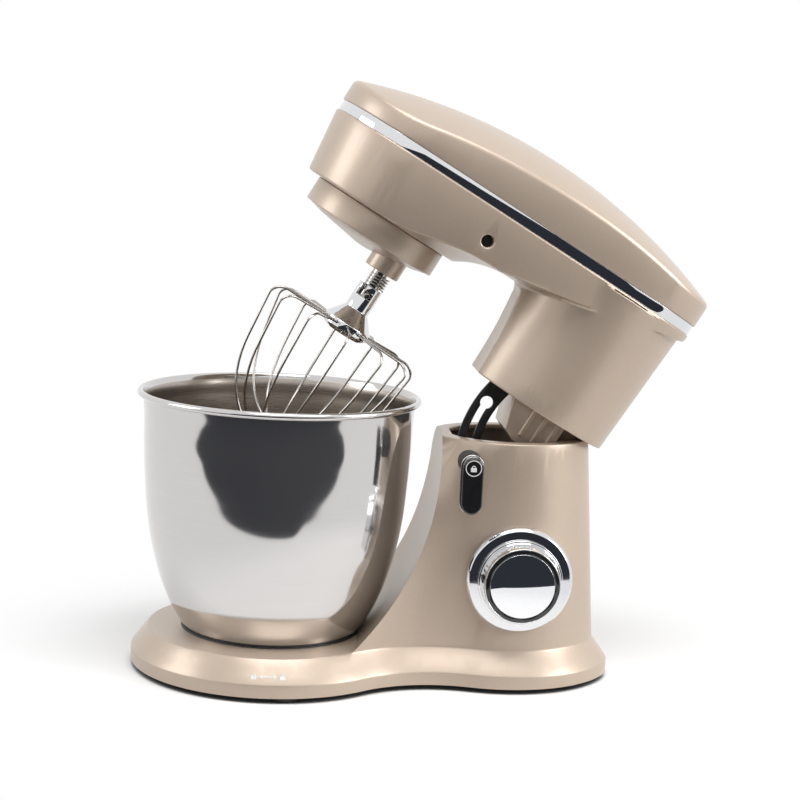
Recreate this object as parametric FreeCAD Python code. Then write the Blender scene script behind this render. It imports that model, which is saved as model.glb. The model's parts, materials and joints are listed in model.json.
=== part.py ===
import FreeCAD, Part
import math
import os
from FreeCAD import Vector

# Tilt-head stand mixer, in millimetres and degrees.
# It is drawn with the bowl axis at x = 0 and the table at z = 0, the column towards +x,
# the lever and the speed knob on the -y side. Head pieces are drawn closed and then tilted open.

# Fits and walls
shaft_gap = 0.05           # running fit, on the radius
seat_gap = 0.3             # between pieces that must not rub
base_wall = 3.0
head_wall = 2.6
open_angle = 30.0          # tilt of the head as it stands

# Base
base_floor = 4.0           # height of the rubber feet under the housing
band_top = 13.4
platform_z = 29.5
chamfer_inset = 12.0
base_front_radius = 104.0
base_waist_radius = 86.0
base_bulge_x = 172.0
base_bulge_half = 68.0
base_rear_round = 48.0
base_rear = 256.5
plate_thickness = 2.5
foot_radius = 11.0
foot_inset = 13.0          # front feet lie this far inside the round front of the base
foot_ring = base_front_radius - foot_inset
foot_angles = (84.0, 180.0, 276.0)
rear_foot_x = 219.0
rear_foot_y = 37.0
screw_radius = 2.0
screw_head_radius = 3.6
screw_head_height = 2.2

# Column
column_top = 182.4
column_front = 115.0
column_front_round = 47.0
column_bulge_x = 173.0
column_half = 51.1
column_rear_round = 42.0
column_rear = 232.0
cradle_x = 120.5           # front of the column where it stands upright
cradle_z = 165.0
cradle_radius = 193.0
dish_radius = 434.0        # hollow of the column front, seen from above
rim_width = 11.0
rim_front = 8.0
rim_thickness = 3.0

# Hinge and lock
hinge_x = 219.8
hinge_z = 162.4
pin_radius = 4.0
pin_half = 26.0
hinge_boss_radius = 9.0
knuckle_radius = 7.6
knuckle_half = 10.0
tongue_half = 29.0
tongue_front = 151.0
tongue_split_x = 196.0
lever_x = 138.5
lever_z = 167.5
lock_radius = 4.5
lock_flat = 4.6
lock_plate_y = -16.0
lock_plate_thickness = 3.0
lock_plate_margin = 3.6
lever_span = 26.5
lever_end_radius = 8.3
lever_face_y = -71.5
lever_back_y = -60.5
lever_trim_depth = 3.0
badge_radius = 7.0
badge_depth = 0.8
lever_bush_radius = 8.5
lever_bush_face_y = -58.5
clip_radius = 7.0
clip_thickness = 1.5

# Speed knob
knob_x = 178.25
knob_z = 83.2
bezel_radius = 39.0
bezel_face_y = -59.6
knob_step_radius = 31.0
knob_step_depth = 4.0
knob_radius = 27.5
knob_face_y = -75.5
dark_ring_radius = 26.7
disc_radius = 23.5
disc_depth = 1.5
knob_shaft_radius = 4.0
board_y = -12.0
board_thickness = 1.6
board_half_x = 33.0
board_half_z = 25.0
board_post_radius = 3.0
switch_half = 17.0
switch_depth = 16.0
gland_x = 185.0            # on the far side of the column
gland_z = 55.0
gland_radius = 6.5
gland_flange = 3.0

# Bowl and seat
seat_radius = 67.0
seat_pocket_depth = 7.5
seat_top = 30.4
seat_floor = 1.6
bowl_foot_radius = 57.0
bayonet_lug = 5.0
bayonet_lug_height = 2.8
bayonet_lug_angle = 30.0
bowl_wall = 1.2
bowl_rim_z = 204.5
bowl_overhang = 1.0        # the rim reaches this far past the round front of the base
bowl_rim_radius = base_front_radius + bowl_overhang
bowl_bead = 2.5
bowl_wall_points = ((66.0, 31.0), (72.0, 40.0), (80.5, 57.0), (89.0, 83.0), (94.5, 110.0),
                    (97.5, 140.0), (99.0, 167.0), (99.6, 190.0))   # radius and height, outside

# Head shell, closed
nose_bottom = 241.0
nose_floor_radius = 62.0
heel_mid = (79.0, 249.7)
heel_end = (101.0, 253.6)
heel_rear_z = 284.0         # underside of the body at its rear, just below the band
band_bottom = 289.0
band_height = 8.0
band_inset = 1.0
head_front = -69.4
head_front_round = 69.4
head_bulge_x = 50.0
head_half = 70.5
head_rear_round = 53.0
head_rear = 241.0
head_taper = 6.0           # how far the body draws in from the band to the nose bottom
crown_radius = 432.0
crown_x = 90.0
crown_top = 343.5
crown_cross_radius = 135.0
crest_fillet = 5.0
neck_gap = 0.5
neck_floor = 3.0
neck_height = 104.0        # from the parting plane to where the neck has run into the body
neck_flare_side = 11.0
neck_flare_front = 14.0
neck_flare_rear = 4.0
neck_flare_shift = 8.0    # the widest point moves forward by this much
neck_steps = 4
neck_front_top = (115.4, 245.0)
neck_front_mid = (119.3, 214.0)
neck_corner_radius = 8.4
flank_screw_x = 67.0
flank_screw_z = 266.8
flank_hole_radius = 4.5

# Drive
ring_teeth = 60
planet_teeth = 16
gear_module = 1.0
drive_module = 1.25
main_teeth = 64
idler_pinion_teeth = 16
idler_teeth = 70
motor_teeth = 14
tooth_play = 0.3
gear_width = 7.0
ring_rim = 5.0
shaft_radius = 6.0
slim_shaft_radius = 4.0
bush_wall = 3.0
deck_z = 257.0             # top plate of the gearbox
deck_thickness = 4.0
deck_post_radius = 5.0
main_gear_z = 264.0
idler_gear_z = 275.0
bracket_z = 286.0
motor_radius = 35.0
motor_can_wall = 2.4
motor_height = 44.0
stator_bore = 22.5
stator_z = 296.0
stator_height = 24.0
commutator_radius = 10.0

# Planetary drum and tool
drum_radius = 53.5
drum_bottom = 222.8
drum_top = 240.6
drum_wall = 2.6
drum_cone_tip = 214.0
drum_boss_radius = 13.7
drum_boss_bottom = 206.0
hub_top = 193.0
hub_neck = 173.0
hub_radius = 9.5
hub_skirt_radius = 19.0
hub_skirt_z = 161.0
hub_bottom = 152.5
cross_pin_radius = 2.0
cross_pin_half = 12.0
cross_pin_z = 186.0
twist_angle = 35.0
spring_wire = 1.2
spring_radius = 7.4
spring_turns = 4
spring_bend = 1.4
whisk_wire = 1.9
whisk_loops = 6
whisk_top = 158.6
whisk_shoulder = 61.0
whisk_corner = 10.5
whisk_side_bottom = 57.7
whisk_tip = 52.3
whisk_nest = 2.5

# Values that follow from the sizes above
planet_orbit = gear_module * (ring_teeth - planet_teeth) / 2
idler_x = drive_module * (main_teeth + idler_pinion_teeth) / 2
motor_x = idler_x + gear_module * (idler_teeth + motor_teeth) / 2
neck_bottom = column_top + neck_gap
band_top_head = band_bottom + band_height
can_top = bracket_z + deck_thickness + motor_height
hinge = Vector(hinge_x, 0, hinge_z)
lock_reach = math.hypot(lever_x - hinge_x, lever_z - hinge_z)
lock_tilt = math.degrees(math.atan2(lever_z - hinge_z, hinge_x - lever_x))
seat_floor_z = platform_z - seat_pocket_depth
bowl_bottom = seat_top + seat_gap

top_oval = (column_front, column_front_round, column_bulge_x, column_half, column_rear_round, column_rear)
head_oval = (head_front, head_front_round, head_bulge_x, head_half, head_rear_round, head_rear)

pieces = {}


# Plain solids

def upright(x, y, z0, z1, radius):
    return Part.makeCylinder(radius, z1 - z0, Vector(x, y, z0))


def crosswise(x, z, y0, y1, radius):
    return Part.makeCylinder(radius, y1 - y0, Vector(x, y0, z), Vector(0, 1, 0))


def block(x0, x1, y0, y1, z0, z1):
    return Part.makeBox(x1 - x0, y1 - y0, z1 - z0, Vector(x0, y0, z0))


def tube(x, y, z0, z1, outer, inner):
    return upright(x, y, z0, z1, outer).cut(upright(x, y, z0, z1, inner))


def arc(start, middle, end):
    return Part.Arc(start, middle, end).toShape()


def line(start, end):
    return Part.LineSegment(start, end).toShape()


def solid_from(wire, height):
    return Part.Face(wire).extrude(Vector(0, 0, height))


def turned(points, x=0.0):
    corners = [Vector(x + radius, 0, z) for radius, z in points]
    face = Part.Face(Part.makePolygon(corners + corners[:1]))
    return face.revolve(Vector(x, 0, 0), Vector(0, 0, 1), 360)


def turned_edges(edges, x=0.0):
    face = Part.Face(Part.Wire(edges))
    return face.revolve(Vector(x, 0, 0), Vector(0, 0, 1), 360)


def side_profile(points, y0, y1):
    corners = [Vector(x, y0, z) for x, z in points]
    face = Part.Face(Part.makePolygon(corners + corners[:1]))
    return face.extrude(Vector(0, y1 - y0, 0))


def merged(first, *others):
    return first.multiFuse(list(others)).removeSplitter()


# Outlines seen from above: three tangent arcs a side, and a round front and rear

def arc_middle(centre, start, end, radius):
    way = (start - centre) + (end - centre)
    return centre + way.normalize() * abs(radius)


def mirrored_outline(side, front_tip, rear_tip):
    low = [Vector(p.x, -p.y, p.z) for p in side]
    edges = [arc(side[0], side[1], side[2]), arc(side[2], side[3], side[4]),
             arc(side[4], rear_tip, low[4]), arc(low[4], low[3], low[2]),
             arc(low[2], low[1], low[0]), arc(low[0], front_tip, side[0])]
    return Part.Wire(edges)


def bulge_arc(centre, radius, bulge_x, half):
    # radius of the side arc that joins an end round to the widest point; negative where it is hollow
    return ((centre - bulge_x) ** 2 + half ** 2 - radius ** 2) / (2 * (half - radius))


def oval(sizes, z, inset=0.0):
    front, front_round, bulge_x, half, rear_round, rear = sizes
    widest = Vector(bulge_x, half - inset, z)
    side = []
    for centre_x, radius in ((front + front_round, front_round), (rear - rear_round, rear_round)):
        reach = bulge_arc(centre_x, radius, bulge_x, half)
        far = Vector(bulge_x, half - reach, z)
        centre = Vector(centre_x, 0, z)
        touch = centre + (centre - far) * ((radius - inset) / (reach - radius))
        side.append((touch, arc_middle(far, touch, widest, reach - inset)))
    points = [side[0][0], side[0][1], widest, side[1][1], side[1][0]]
    return mirrored_outline(points, Vector(front + inset, 0, z), Vector(rear - inset, 0, z))


def base_outline(z, inset=0.0):
    rear_centre = Vector(base_rear - base_rear_round, 0, z)
    reach = bulge_arc(rear_centre.x, base_rear_round, base_bulge_x, base_bulge_half)
    front_centre = Vector(0, 0, z)
    bulge = Vector(base_bulge_x, base_bulge_half - reach, z)
    gap = bulge - front_centre
    near = base_front_radius + base_waist_radius
    far = reach + base_waist_radius
    along = (near ** 2 - far ** 2 + gap.Length ** 2) / (2 * gap.Length)
    aside = math.sqrt(near ** 2 - along ** 2)
    ahead = Vector(gap).normalize()
    waist = front_centre + ahead * along + Vector(-ahead.y, ahead.x, 0) * aside
    first = front_centre + (waist - front_centre).normalize() * (base_front_radius - inset)
    second = waist + (bulge - waist).normalize() * (base_waist_radius + inset)
    third = bulge + (rear_centre - bulge).normalize() * (reach - inset)
    points = [first, arc_middle(waist, first, second, base_waist_radius + inset), second,
              arc_middle(bulge, second, third, reach - inset), third]
    return mirrored_outline(points, Vector(inset - base_front_radius, 0, z), Vector(base_rear - inset, 0, z))


# Base housing

def column_body(inset, bottom=platform_z, top=column_top):
    return Part.makeLoft([base_outline(bottom, chamfer_inset + inset), oval(top_oval, top, inset)], True, True)


def cradle_cutter(grow, bottom):
    centre_x = cradle_x - cradle_radius
    radius = cradle_radius + grow
    foot_x = centre_x + math.sqrt(radius ** 2 - (cradle_z - bottom) ** 2)
    middle = math.asin((cradle_z - bottom) / radius) / 2
    start = Vector(foot_x, 0, bottom)
    upper = Vector(centre_x + radius, 0, cradle_z)
    bend = Vector(centre_x + radius * math.cos(middle), 0, cradle_z - radius * math.sin(middle))
    roof = column_top + rim_width
    front = -base_front_radius - rim_width
    edges = [arc(start, bend, upper), line(upper, Vector(upper.x, 0, roof)),
             line(Vector(upper.x, 0, roof), Vector(front, 0, roof)),
             line(Vector(front, 0, roof), Vector(front, 0, bottom)), line(Vector(front, 0, bottom), start)]
    face = Part.Face(Part.Wire(edges))
    axis = Vector(cradle_x - dish_radius, 0, 0)
    face.rotate(axis, Vector(0, 0, 1), -30)
    return face.revolve(axis, Vector(0, 0, 1), 60)


def base_outside():
    band = solid_from(base_outline(base_floor), band_top - base_floor)
    chamfer = Part.makeLoft([base_outline(band_top), base_outline(platform_z, chamfer_inset)], True, True)
    column = column_body(0).cut(cradle_cutter(0, platform_z))
    return merged(band, chamfer, column)


def base_inside():
    roof = platform_z - base_wall
    low = solid_from(base_outline(base_floor, base_wall), band_top - base_floor)
    slope = Part.makeLoft([base_outline(band_top, base_wall), base_outline(roof, chamfer_inset + base_wall)],
                          True, True)
    column = column_body(base_wall, roof, column_top - rim_thickness)
    column = column.cut(cradle_cutter(base_wall, roof))
    return merged(low, slope, column)


def rim_opening():
    hole = solid_from(oval(top_oval, column_top - 2 * rim_thickness, rim_width), 3 * rim_thickness)
    hole = hole.common(block(cradle_x + rim_front, column_rear, -column_half, column_half,
                             column_top - 2 * rim_thickness, column_top + rim_thickness))
    slot_half = knuckle_half + seat_gap
    slot = solid_from(oval(top_oval, column_top - 2 * rim_thickness, base_wall + seat_gap), 3 * rim_thickness)
    slot = slot.common(block(column_bulge_x, column_rear, -slot_half, slot_half,
                             column_top - 2 * rim_thickness, column_top + rim_thickness))
    return hole.fuse(slot)


def rear_relief():
    # rounds the rear rim about the hinge, so that the neck floor can swing down over it
    corner = block(hinge_x, column_rear + rim_width, -column_half, column_half, hinge_z, column_top + rim_width)
    return corner.cut(crosswise(hinge_x, hinge_z, -column_half, column_half, neck_bottom - hinge_z - seat_gap))


def board_posts():
    return [(knob_x + sx * board_half_x, knob_z + sz * board_half_z) for sx in (-1, 1) for sz in (-1, 1)]


def foot_places():
    front = [(foot_ring * math.cos(math.radians(a)), foot_ring * math.sin(math.radians(a))) for a in foot_angles]
    return front + [(rear_foot_x, rear_foot_y), (rear_foot_x, -rear_foot_y)]


def screw_places():
    # one screw inside each front foot, and one under the slope on each side of the column
    shift = foot_ring - foot_radius - 2 * screw_head_radius
    front = [(shift * math.cos(math.radians(a)), shift * math.sin(math.radians(a))) for a in foot_angles]
    side = base_bulge_half - chamfer_inset
    return front + [(base_bulge_x, side), (base_bulge_x, -side)]


def make_base():
    outside = base_outside()
    inside = base_inside()
    housing = outside.cut(inside)
    # pocket for the bowl seat, the hinge bosses, the lever boss, the board posts and the screw posts
    cup = upright(0, 0, seat_floor_z - base_wall, platform_z, seat_radius + seat_gap + base_wall)
    bosses = [cup]
    for sign in (-1, 1):
        near, far = sorted((sign * (knuckle_half + seat_gap), sign * column_half))
        bosses.append(crosswise(hinge_x, hinge_z, near, far, hinge_boss_radius).common(outside))
    for x, z in board_posts():
        bosses.append(crosswise(x, z, -base_bulge_half, board_y, board_post_radius).common(outside))
    post_bottom = base_floor + plate_thickness
    for x, y in screw_places():
        bosses.append(upright(x, y, post_bottom, platform_z - base_wall / 2, 2 * screw_radius + base_wall)
                      .common(outside))
    housing = merged(housing, *bosses)
    cuts = [upright(0, 0, seat_floor_z, platform_z + 1, seat_radius + seat_gap), rim_opening(), rear_relief(),
            crosswise(hinge_x, hinge_z, -pin_half - seat_gap, pin_half + seat_gap, pin_radius + shaft_gap),
            crosswise(lever_x, lever_z, -base_bulge_half, 0, lever_bush_radius - base_wall),
            crosswise(knob_x, knob_z, -base_bulge_half, board_y, knob_step_radius - base_wall * 2),
            crosswise(gland_x, gland_z, 0, base_bulge_half, gland_radius + shaft_gap)]
    for x, y in screw_places():
        cuts.append(upright(x, y, base_floor, seat_floor_z - base_wall, screw_radius + shaft_gap))
    pieces["base_housing"] = housing.cut(Part.makeCompound(cuts))

    plate = solid_from(base_outline(base_floor, base_wall + seat_gap), plate_thickness)
    holes = [upright(x, y, 0, platform_z, screw_radius + shaft_gap) for x, y in screw_places()]
    pieces["base_plate"] = plate.cut(Part.makeCompound(holes))
    feet = []
    for x, y in foot_places():
        foot = upright(x, y, 0, base_floor, foot_radius)
        feet.append(foot.makeChamfer(1.2, [e for e in foot.Edges if e.BoundBox.ZMax < 0.1]))
    pieces["rubber_feet"] = Part.makeCompound(feet)
    screws = []
    for x, y in screw_places():
        head = upright(x, y, base_floor - screw_head_height, base_floor, screw_head_radius)
        screws.append(head.fuse(upright(x, y, base_floor, seat_floor_z - 2 * base_wall, screw_radius)))
    pieces["base_screws"] = Part.makeCompound(screws)
    pieces["hinge_pin"] = crosswise(hinge_x, hinge_z, -pin_half, pin_half, pin_radius)

    wall_y = column_body(0).common(crosswise(gland_x, gland_z, 0, base_bulge_half, gland_radius)).BoundBox.YMax
    flange = crosswise(gland_x, gland_z, wall_y, wall_y + gland_flange, gland_radius + gland_flange)
    neck = crosswise(gland_x, gland_z, wall_y - 2 * gland_flange, wall_y, gland_radius)
    bore = crosswise(gland_x, gland_z, wall_y - 3 * gland_flange, wall_y + 3 * gland_flange, gland_radius / 2)
    pieces["cord_gland"] = flange.fuse(neck).cut(bore)


def make_seat():
    ring = upright(0, 0, seat_floor_z, seat_top, seat_radius)
    lug_reach = bowl_foot_radius + bayonet_lug + seat_gap
    lug_roof = seat_floor_z + seat_floor + bayonet_lug_height + 2 * seat_gap
    ring = ring.cut(upright(0, 0, seat_floor_z + seat_floor, seat_top, bowl_foot_radius + seat_gap))
    ring = ring.cut(upright(0, 0, seat_floor_z + seat_floor, lug_roof, lug_reach))
    # gaps that let the lugs down, one turn of the bayonet away from where they lie locked
    gap_angle = bayonet_lug_angle + 4
    face = Part.Face(Part.makePolygon([Vector(bowl_foot_radius, 0, lug_roof), Vector(lug_reach, 0, lug_roof),
                                       Vector(lug_reach, 0, seat_top), Vector(bowl_foot_radius, 0, seat_top),
                                       Vector(bowl_foot_radius, 0, lug_roof)]))
    for step in range(3):
        gap = face.copy()
        gap.rotate(Vector(), Vector(0, 0, 1), step * 120 + bayonet_lug_angle / 2 + 1)
        ring = ring.cut(gap.revolve(Vector(), Vector(0, 0, 1), gap_angle))
    pieces["bowl_seat"] = ring


def make_bowl():
    outside = [Vector(r, 0, z + bowl_bottom - bowl_wall_points[0][1]) for r, z in bowl_wall_points]
    outside.append(Vector(bowl_rim_radius - 2 * bowl_bead + bowl_wall, 0, bowl_rim_z))
    inside = [Vector(p.x - bowl_wall, 0, p.z) for p in outside]
    inside[0] = inside[0] + Vector(-bowl_wall, 0, bowl_wall)
    outer_curve = Part.BSplineCurve()
    outer_curve.interpolate(outside)
    inner_curve = Part.BSplineCurve()
    inner_curve.interpolate(inside)
    low_axis = Vector(0, 0, outside[0].z)
    high_axis = Vector(0, 0, inside[0].z)
    shell = turned_edges([line(low_axis, outside[0]), outer_curve.toShape(), line(outside[-1], inside[-1]),
                          inner_curve.toShape(), line(inside[0], high_axis), line(high_axis, low_axis)])
    bead = Part.makeTorus(bowl_rim_radius - bowl_bead, bowl_bead, Vector(0, 0, bowl_rim_z))
    pieces["mixing_bowl"] = shell.fuse(bead)

    foot_bottom = seat_floor_z + seat_floor + seat_gap
    foot = upright(0, 0, foot_bottom, bowl_bottom, bowl_foot_radius)
    foot = foot.cut(upright(0, 0, foot_bottom, bowl_bottom - bowl_wall, bowl_foot_radius - 4 * bowl_wall))
    face = Part.Face(Part.makePolygon([Vector(bowl_foot_radius - bowl_wall, 0, foot_bottom),
                                       Vector(bowl_foot_radius + bayonet_lug, 0, foot_bottom),
                                       Vector(bowl_foot_radius + bayonet_lug, 0, foot_bottom + bayonet_lug_height),
                                       Vector(bowl_foot_radius - bowl_wall, 0, foot_bottom + bayonet_lug_height),
                                       Vector(bowl_foot_radius - bowl_wall, 0, foot_bottom)]))
    for step in range(3):
        lug = face.copy()
        lug.rotate(Vector(), Vector(0, 0, 1), step * 120 - bayonet_lug_angle / 2)
        foot = foot.fuse(lug.revolve(Vector(), Vector(0, 0, 1), bayonet_lug_angle))
    pieces["bowl_foot"] = foot


# Release lever, on the axis of the lock shaft

def pill(y0, y1, radius):
    top = crosswise(lever_x, lever_z, y0, y1, radius)
    end = crosswise(lever_x, lever_z - lever_span, y0, y1, radius)
    middle = block(lever_x - radius, lever_x + radius, y0, y1, lever_z - lever_span, lever_z)
    return merged(top, end, middle)


def make_lever():
    split = lever_back_y - lever_trim_depth
    body = pill(lever_face_y, split, lever_end_radius - 0.8)
    front = [e for e in body.Edges if abs(e.BoundBox.YMax - lever_face_y) < 0.01]
    body = body.makeFillet(1.5, front)
    badge_seat = crosswise(lever_x, lever_z, lever_face_y - 1, lever_face_y + badge_depth, badge_radius - 1.5)
    pieces["release_lever"] = body.cut(badge_seat)
    badge = crosswise(lever_x, lever_z, lever_face_y, lever_face_y + badge_depth, badge_radius - 1.5 - shaft_gap)
    pieces["lever_badge"] = badge
    pieces["lever_trim"] = pill(split, lever_back_y, lever_end_radius).cut(
        crosswise(lever_x, lever_z, split, lever_back_y, lock_radius + shaft_gap))

    inner_end = lock_plate_y + lock_plate_thickness * 2
    shaft = crosswise(lever_x, lever_z, split, inner_end, lock_radius)
    flat_start = lock_plate_y - lock_plate_thickness
    for sign in (-1, 1):
        side = block(lever_x + sign * lock_flat / 2, lever_x + sign * 3 * lock_radius, flat_start, inner_end,
                     lever_z - 2 * lock_radius, lever_z + 2 * lock_radius) if sign > 0 else \
            block(lever_x - 3 * lock_radius, lever_x - lock_flat / 2, flat_start, inner_end,
                  lever_z - 2 * lock_radius, lever_z + 2 * lock_radius)
        side.rotate(Vector(lever_x, 0, lever_z), Vector(0, 1, 0), lock_tilt)
        shaft = shaft.cut(side)
    pieces["lock_shaft"] = shaft

    # the bush stands on the column wall and carries the shaft; a clip on the shaft keeps it in
    flange = crosswise(lever_x, lever_z, lever_bush_face_y, -column_half / 2, lever_bush_radius)
    flange = flange.cut(column_body(-shaft_gap))
    core = crosswise(lever_x, lever_z, lever_bush_face_y, lock_plate_y - 5 * lock_plate_thickness,
                     lever_bush_radius - base_wall - shaft_gap)
    bush = merged(flange, core).cut(crosswise(lever_x, lever_z, -base_bulge_half - lever_span, 0,
                                              lock_radius + shaft_gap))
    pieces["lever_bush"] = bush
    clip_y = lock_plate_y - 5 * lock_plate_thickness + seat_gap
    clip = crosswise(lever_x, lever_z, clip_y, clip_y + clip_thickness, clip_radius)
    pieces["shaft_clip"] = clip.cut(crosswise(lever_x, lever_z, clip_y, clip_y + clip_thickness,
                                              lock_radius + shaft_gap))


# Speed knob, switch and board

def make_knob():
    bezel = crosswise(knob_x, knob_z, bezel_face_y, -base_bulge_half / 3, bezel_radius)
    bezel = bezel.cut(column_body(-shaft_gap))
    front = [e for e in bezel.Edges if abs(e.BoundBox.YMax - bezel_face_y) < 0.01]
    bezel = bezel.makeChamfer(2.0, front)
    shaft_bore = crosswise(knob_x, knob_z, knob_face_y, 0, knob_shaft_radius + shaft_gap)
    pieces["knob_bezel"] = bezel.cut(shaft_bore)

    back = bezel_face_y - seat_gap
    step_face = back - knob_step_depth
    skirt = crosswise(knob_x, knob_z, step_face, back, knob_step_radius)
    barrel = Part.makeCone(knob_step_radius - 1.5, knob_radius, step_face - knob_face_y,
                           Vector(knob_x, step_face, knob_z), Vector(0, -1, 0))
    shaft = crosswise(knob_x, knob_z, back, board_y - switch_depth / 2, knob_shaft_radius)
    recess = crosswise(knob_x, knob_z, knob_face_y, knob_face_y + disc_depth, dark_ring_radius)
    pieces["speed_knob"] = merged(skirt, barrel, shaft).cut(recess)
    ring = crosswise(knob_x, knob_z, knob_face_y, knob_face_y + disc_depth, dark_ring_radius - shaft_gap)
    disc = crosswise(knob_x, knob_z, knob_face_y, knob_face_y + disc_depth, disc_radius)
    pieces["knob_ring"] = ring.cut(disc)
    pieces["knob_face"] = crosswise(knob_x, knob_z, knob_face_y, knob_face_y + disc_depth, disc_radius - shaft_gap)

    switch = block(knob_x - switch_half, knob_x + switch_half, board_y - switch_depth, board_y,
                   knob_z - switch_half, knob_z + switch_half)
    pieces["speed_switch"] = switch.cut(crosswise(knob_x, knob_z, board_y - switch_depth, board_y - switch_depth / 3,
                                                  knob_shaft_radius + shaft_gap))
    reach_x = board_half_x + board_post_radius
    reach_z = board_half_z + board_post_radius
    pieces["control_board"] = block(knob_x - reach_x, knob_x + reach_x, board_y, board_y + board_thickness,
                                    knob_z - reach_z, knob_z + reach_z)


# Head shell

def dome(drop):
    # barrel-shaped crown: an arc across the head, swung along the head about a far axis
    centre_z = crown_top - crown_radius
    radius = crown_radius - drop
    cross = crown_cross_radius - drop
    half = head_half * 1.2
    sag = cross - math.sqrt(cross ** 2 - half ** 2)
    top = Vector(crown_x, 0, centre_z + radius)
    near = Vector(crown_x, -half, centre_z + radius - sag)
    far = Vector(crown_x, half, centre_z + radius - sag)
    floor_z = band_top_head - crown_top / 2
    low_near = Vector(crown_x, -half, floor_z)
    low_far = Vector(crown_x, half, floor_z)
    face = Part.Face(Part.Wire([arc(near, top, far), line(far, low_far), line(low_far, low_near),
                                line(low_near, near)]))
    axis = Vector(crown_x, 0, centre_z)
    swing = math.degrees(math.asin((head_rear - head_front) / crown_radius))
    face.rotate(axis, Vector(0, 1, 0), -swing)
    return face.revolve(axis, Vector(0, 1, 0), 2 * swing)


def body_loft(inset, bottom, top):
    def section(z):
        draw = head_taper * (band_bottom - z) / (band_bottom - nose_bottom)
        return oval(head_oval, z, inset + draw)
    return Part.makeLoft([section(bottom), section(top)], True, True)


def heel_cutter(grow):
    # hollows the underside behind the nose, turned about the drive axis
    start = Vector(nose_floor_radius - grow / 2, 0, nose_bottom + grow)
    middle = Vector(heel_mid[0] - grow / 2, 0, heel_mid[1] + grow)
    end = Vector(heel_end[0], 0, heel_end[1] + grow)
    # behind the neck's front corner the underside climbs to just below the band
    foot = Vector(neck_front_top[0] - neck_corner_radius, 0, end.z)
    climb = (heel_rear_z - heel_end[1]) / (head_rear - foot.x)
    far = 2 * head_rear
    low = nose_bottom - 4 * head_wall
    corners = [foot, Vector(far, 0, end.z + climb * (far - foot.x)), Vector(far, 0, low), Vector(start.x, 0, low)]
    edges = [arc(start, middle, end)]
    for first, second in zip([end] + corners, corners + [start]):
        edges.append(line(first, second))
    return turned_edges(edges)


def neck_section(share, inset, low):
    # the neck widens slowly at first and then runs out into the body
    front, front_round, bulge_x, half, rear_round, rear = top_oval
    flare = share ** 3
    sizes = (front - neck_flare_front * flare, front_round, bulge_x - neck_flare_shift * flare,
             half + neck_flare_side * (0.15 * share + 0.85 * flare), rear_round + neck_flare_rear * flare,
             rear + neck_flare_rear * share)
    return oval(sizes, neck_bottom + low + (neck_height - low) * share, inset)


def neck_loft(inset, low=0.0):
    wires = [neck_section(step / neck_steps, inset, low) for step in range(neck_steps + 1)]
    return Part.makeLoft(wires, True, False)


def neck_cutter(grow):
    low = neck_bottom - rim_width
    start = Vector(cradle_x + grow, 0, neck_bottom)
    middle = Vector(neck_front_mid[0] + grow, 0, neck_front_mid[1])
    upper = Vector(neck_front_top[0] + grow, 0, neck_front_top[1])
    roof_z = heel_end[1] + grow
    corner = Vector(upper.x - neck_corner_radius, 0, roof_z)
    bend = Vector(upper.x - neck_corner_radius * 0.27, 0, upper.z + (roof_z - upper.z) * 0.72)
    away = nose_floor_radius
    corners = [Vector(away, 0, roof_z), Vector(away, 0, low), Vector(start.x, 0, low)]
    face = Part.Face(Part.Wire([arc(start, middle, upper), arc(upper, bend, corner), line(corner, corners[0]),
                                line(corners[0], corners[1]), line(corners[1], corners[2]),
                                line(corners[2], start)]))
    axis = Vector(cradle_x - dish_radius, 0, 0)
    face.rotate(axis, Vector(0, 0, 1), -30)
    return face.revolve(axis, Vector(0, 0, 1), 60)


def make_head_shell():
    outer = solid_from(oval(head_oval, band_top_head), crown_top - band_top_head + 5).common(dome(0))
    crest = [e for e in outer.Edges if e.BoundBox.ZMin > band_top_head + 1]
    rim = [e for e in crest if e.BoundBox.ZMax < crown_top - 5 or e.BoundBox.XLength > 20]
    outer = outer.makeFillet(crest_fillet, rim)
    inner = solid_from(oval(head_oval, band_top_head, head_wall), crown_top - band_top_head).common(dome(head_wall))
    pieces["head_upper_cover"] = outer.cut(inner)

    band = solid_from(oval(head_oval, band_bottom, band_inset), band_height)
    pieces["chrome_band"] = band.cut(solid_from(oval(head_oval, band_bottom, head_wall + band_inset), band_height))

    outside = merged(body_loft(0, nose_bottom, band_bottom).cut(heel_cutter(0)), neck_loft(0).cut(neck_cutter(0)))
    inside = merged(body_loft(head_wall, nose_bottom + head_wall, band_bottom + 1).cut(heel_cutter(head_wall)),
                    neck_loft(head_wall, neck_floor).cut(neck_cutter(head_wall)))
    shell = outside.cut(inside)
    bosses = []
    cuts = [upright(0, 0, nose_bottom - 1, deck_z, ring_opening())]
    for sign in (-1, 1):
        span = sorted((sign * head_half * 0.72, sign * head_half))
        bosses.append(crosswise(flank_screw_x, flank_screw_z, span[0], span[1], flank_hole_radius + head_wall)
                      .common(outside))
        seat = sorted((sign * head_half * 0.8, sign * head_half))
        cuts.append(crosswise(flank_screw_x, flank_screw_z, seat[0], seat[1], flank_hole_radius))
        cuts.append(crosswise(flank_screw_x, flank_screw_z, span[0], span[1], screw_radius + shaft_gap))
    pieces["head_lower_housing"] = merged(shell, *bosses).cut(Part.makeCompound(cuts))

    screws = []
    for sign in (-1, 1):
        seat = sign * (head_half * 0.8)
        head_span = sorted((seat, seat + sign * screw_head_height))
        shank = sorted((seat, seat - sign * head_half * 0.1))
        screws.append(crosswise(flank_screw_x, flank_screw_z, head_span[0], head_span[1],
                                flank_hole_radius - seat_gap).fuse(
            crosswise(flank_screw_x, flank_screw_z, shank[0], shank[1], screw_radius)))
    pieces["flank_screws"] = Part.makeCompound(screws)


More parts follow.
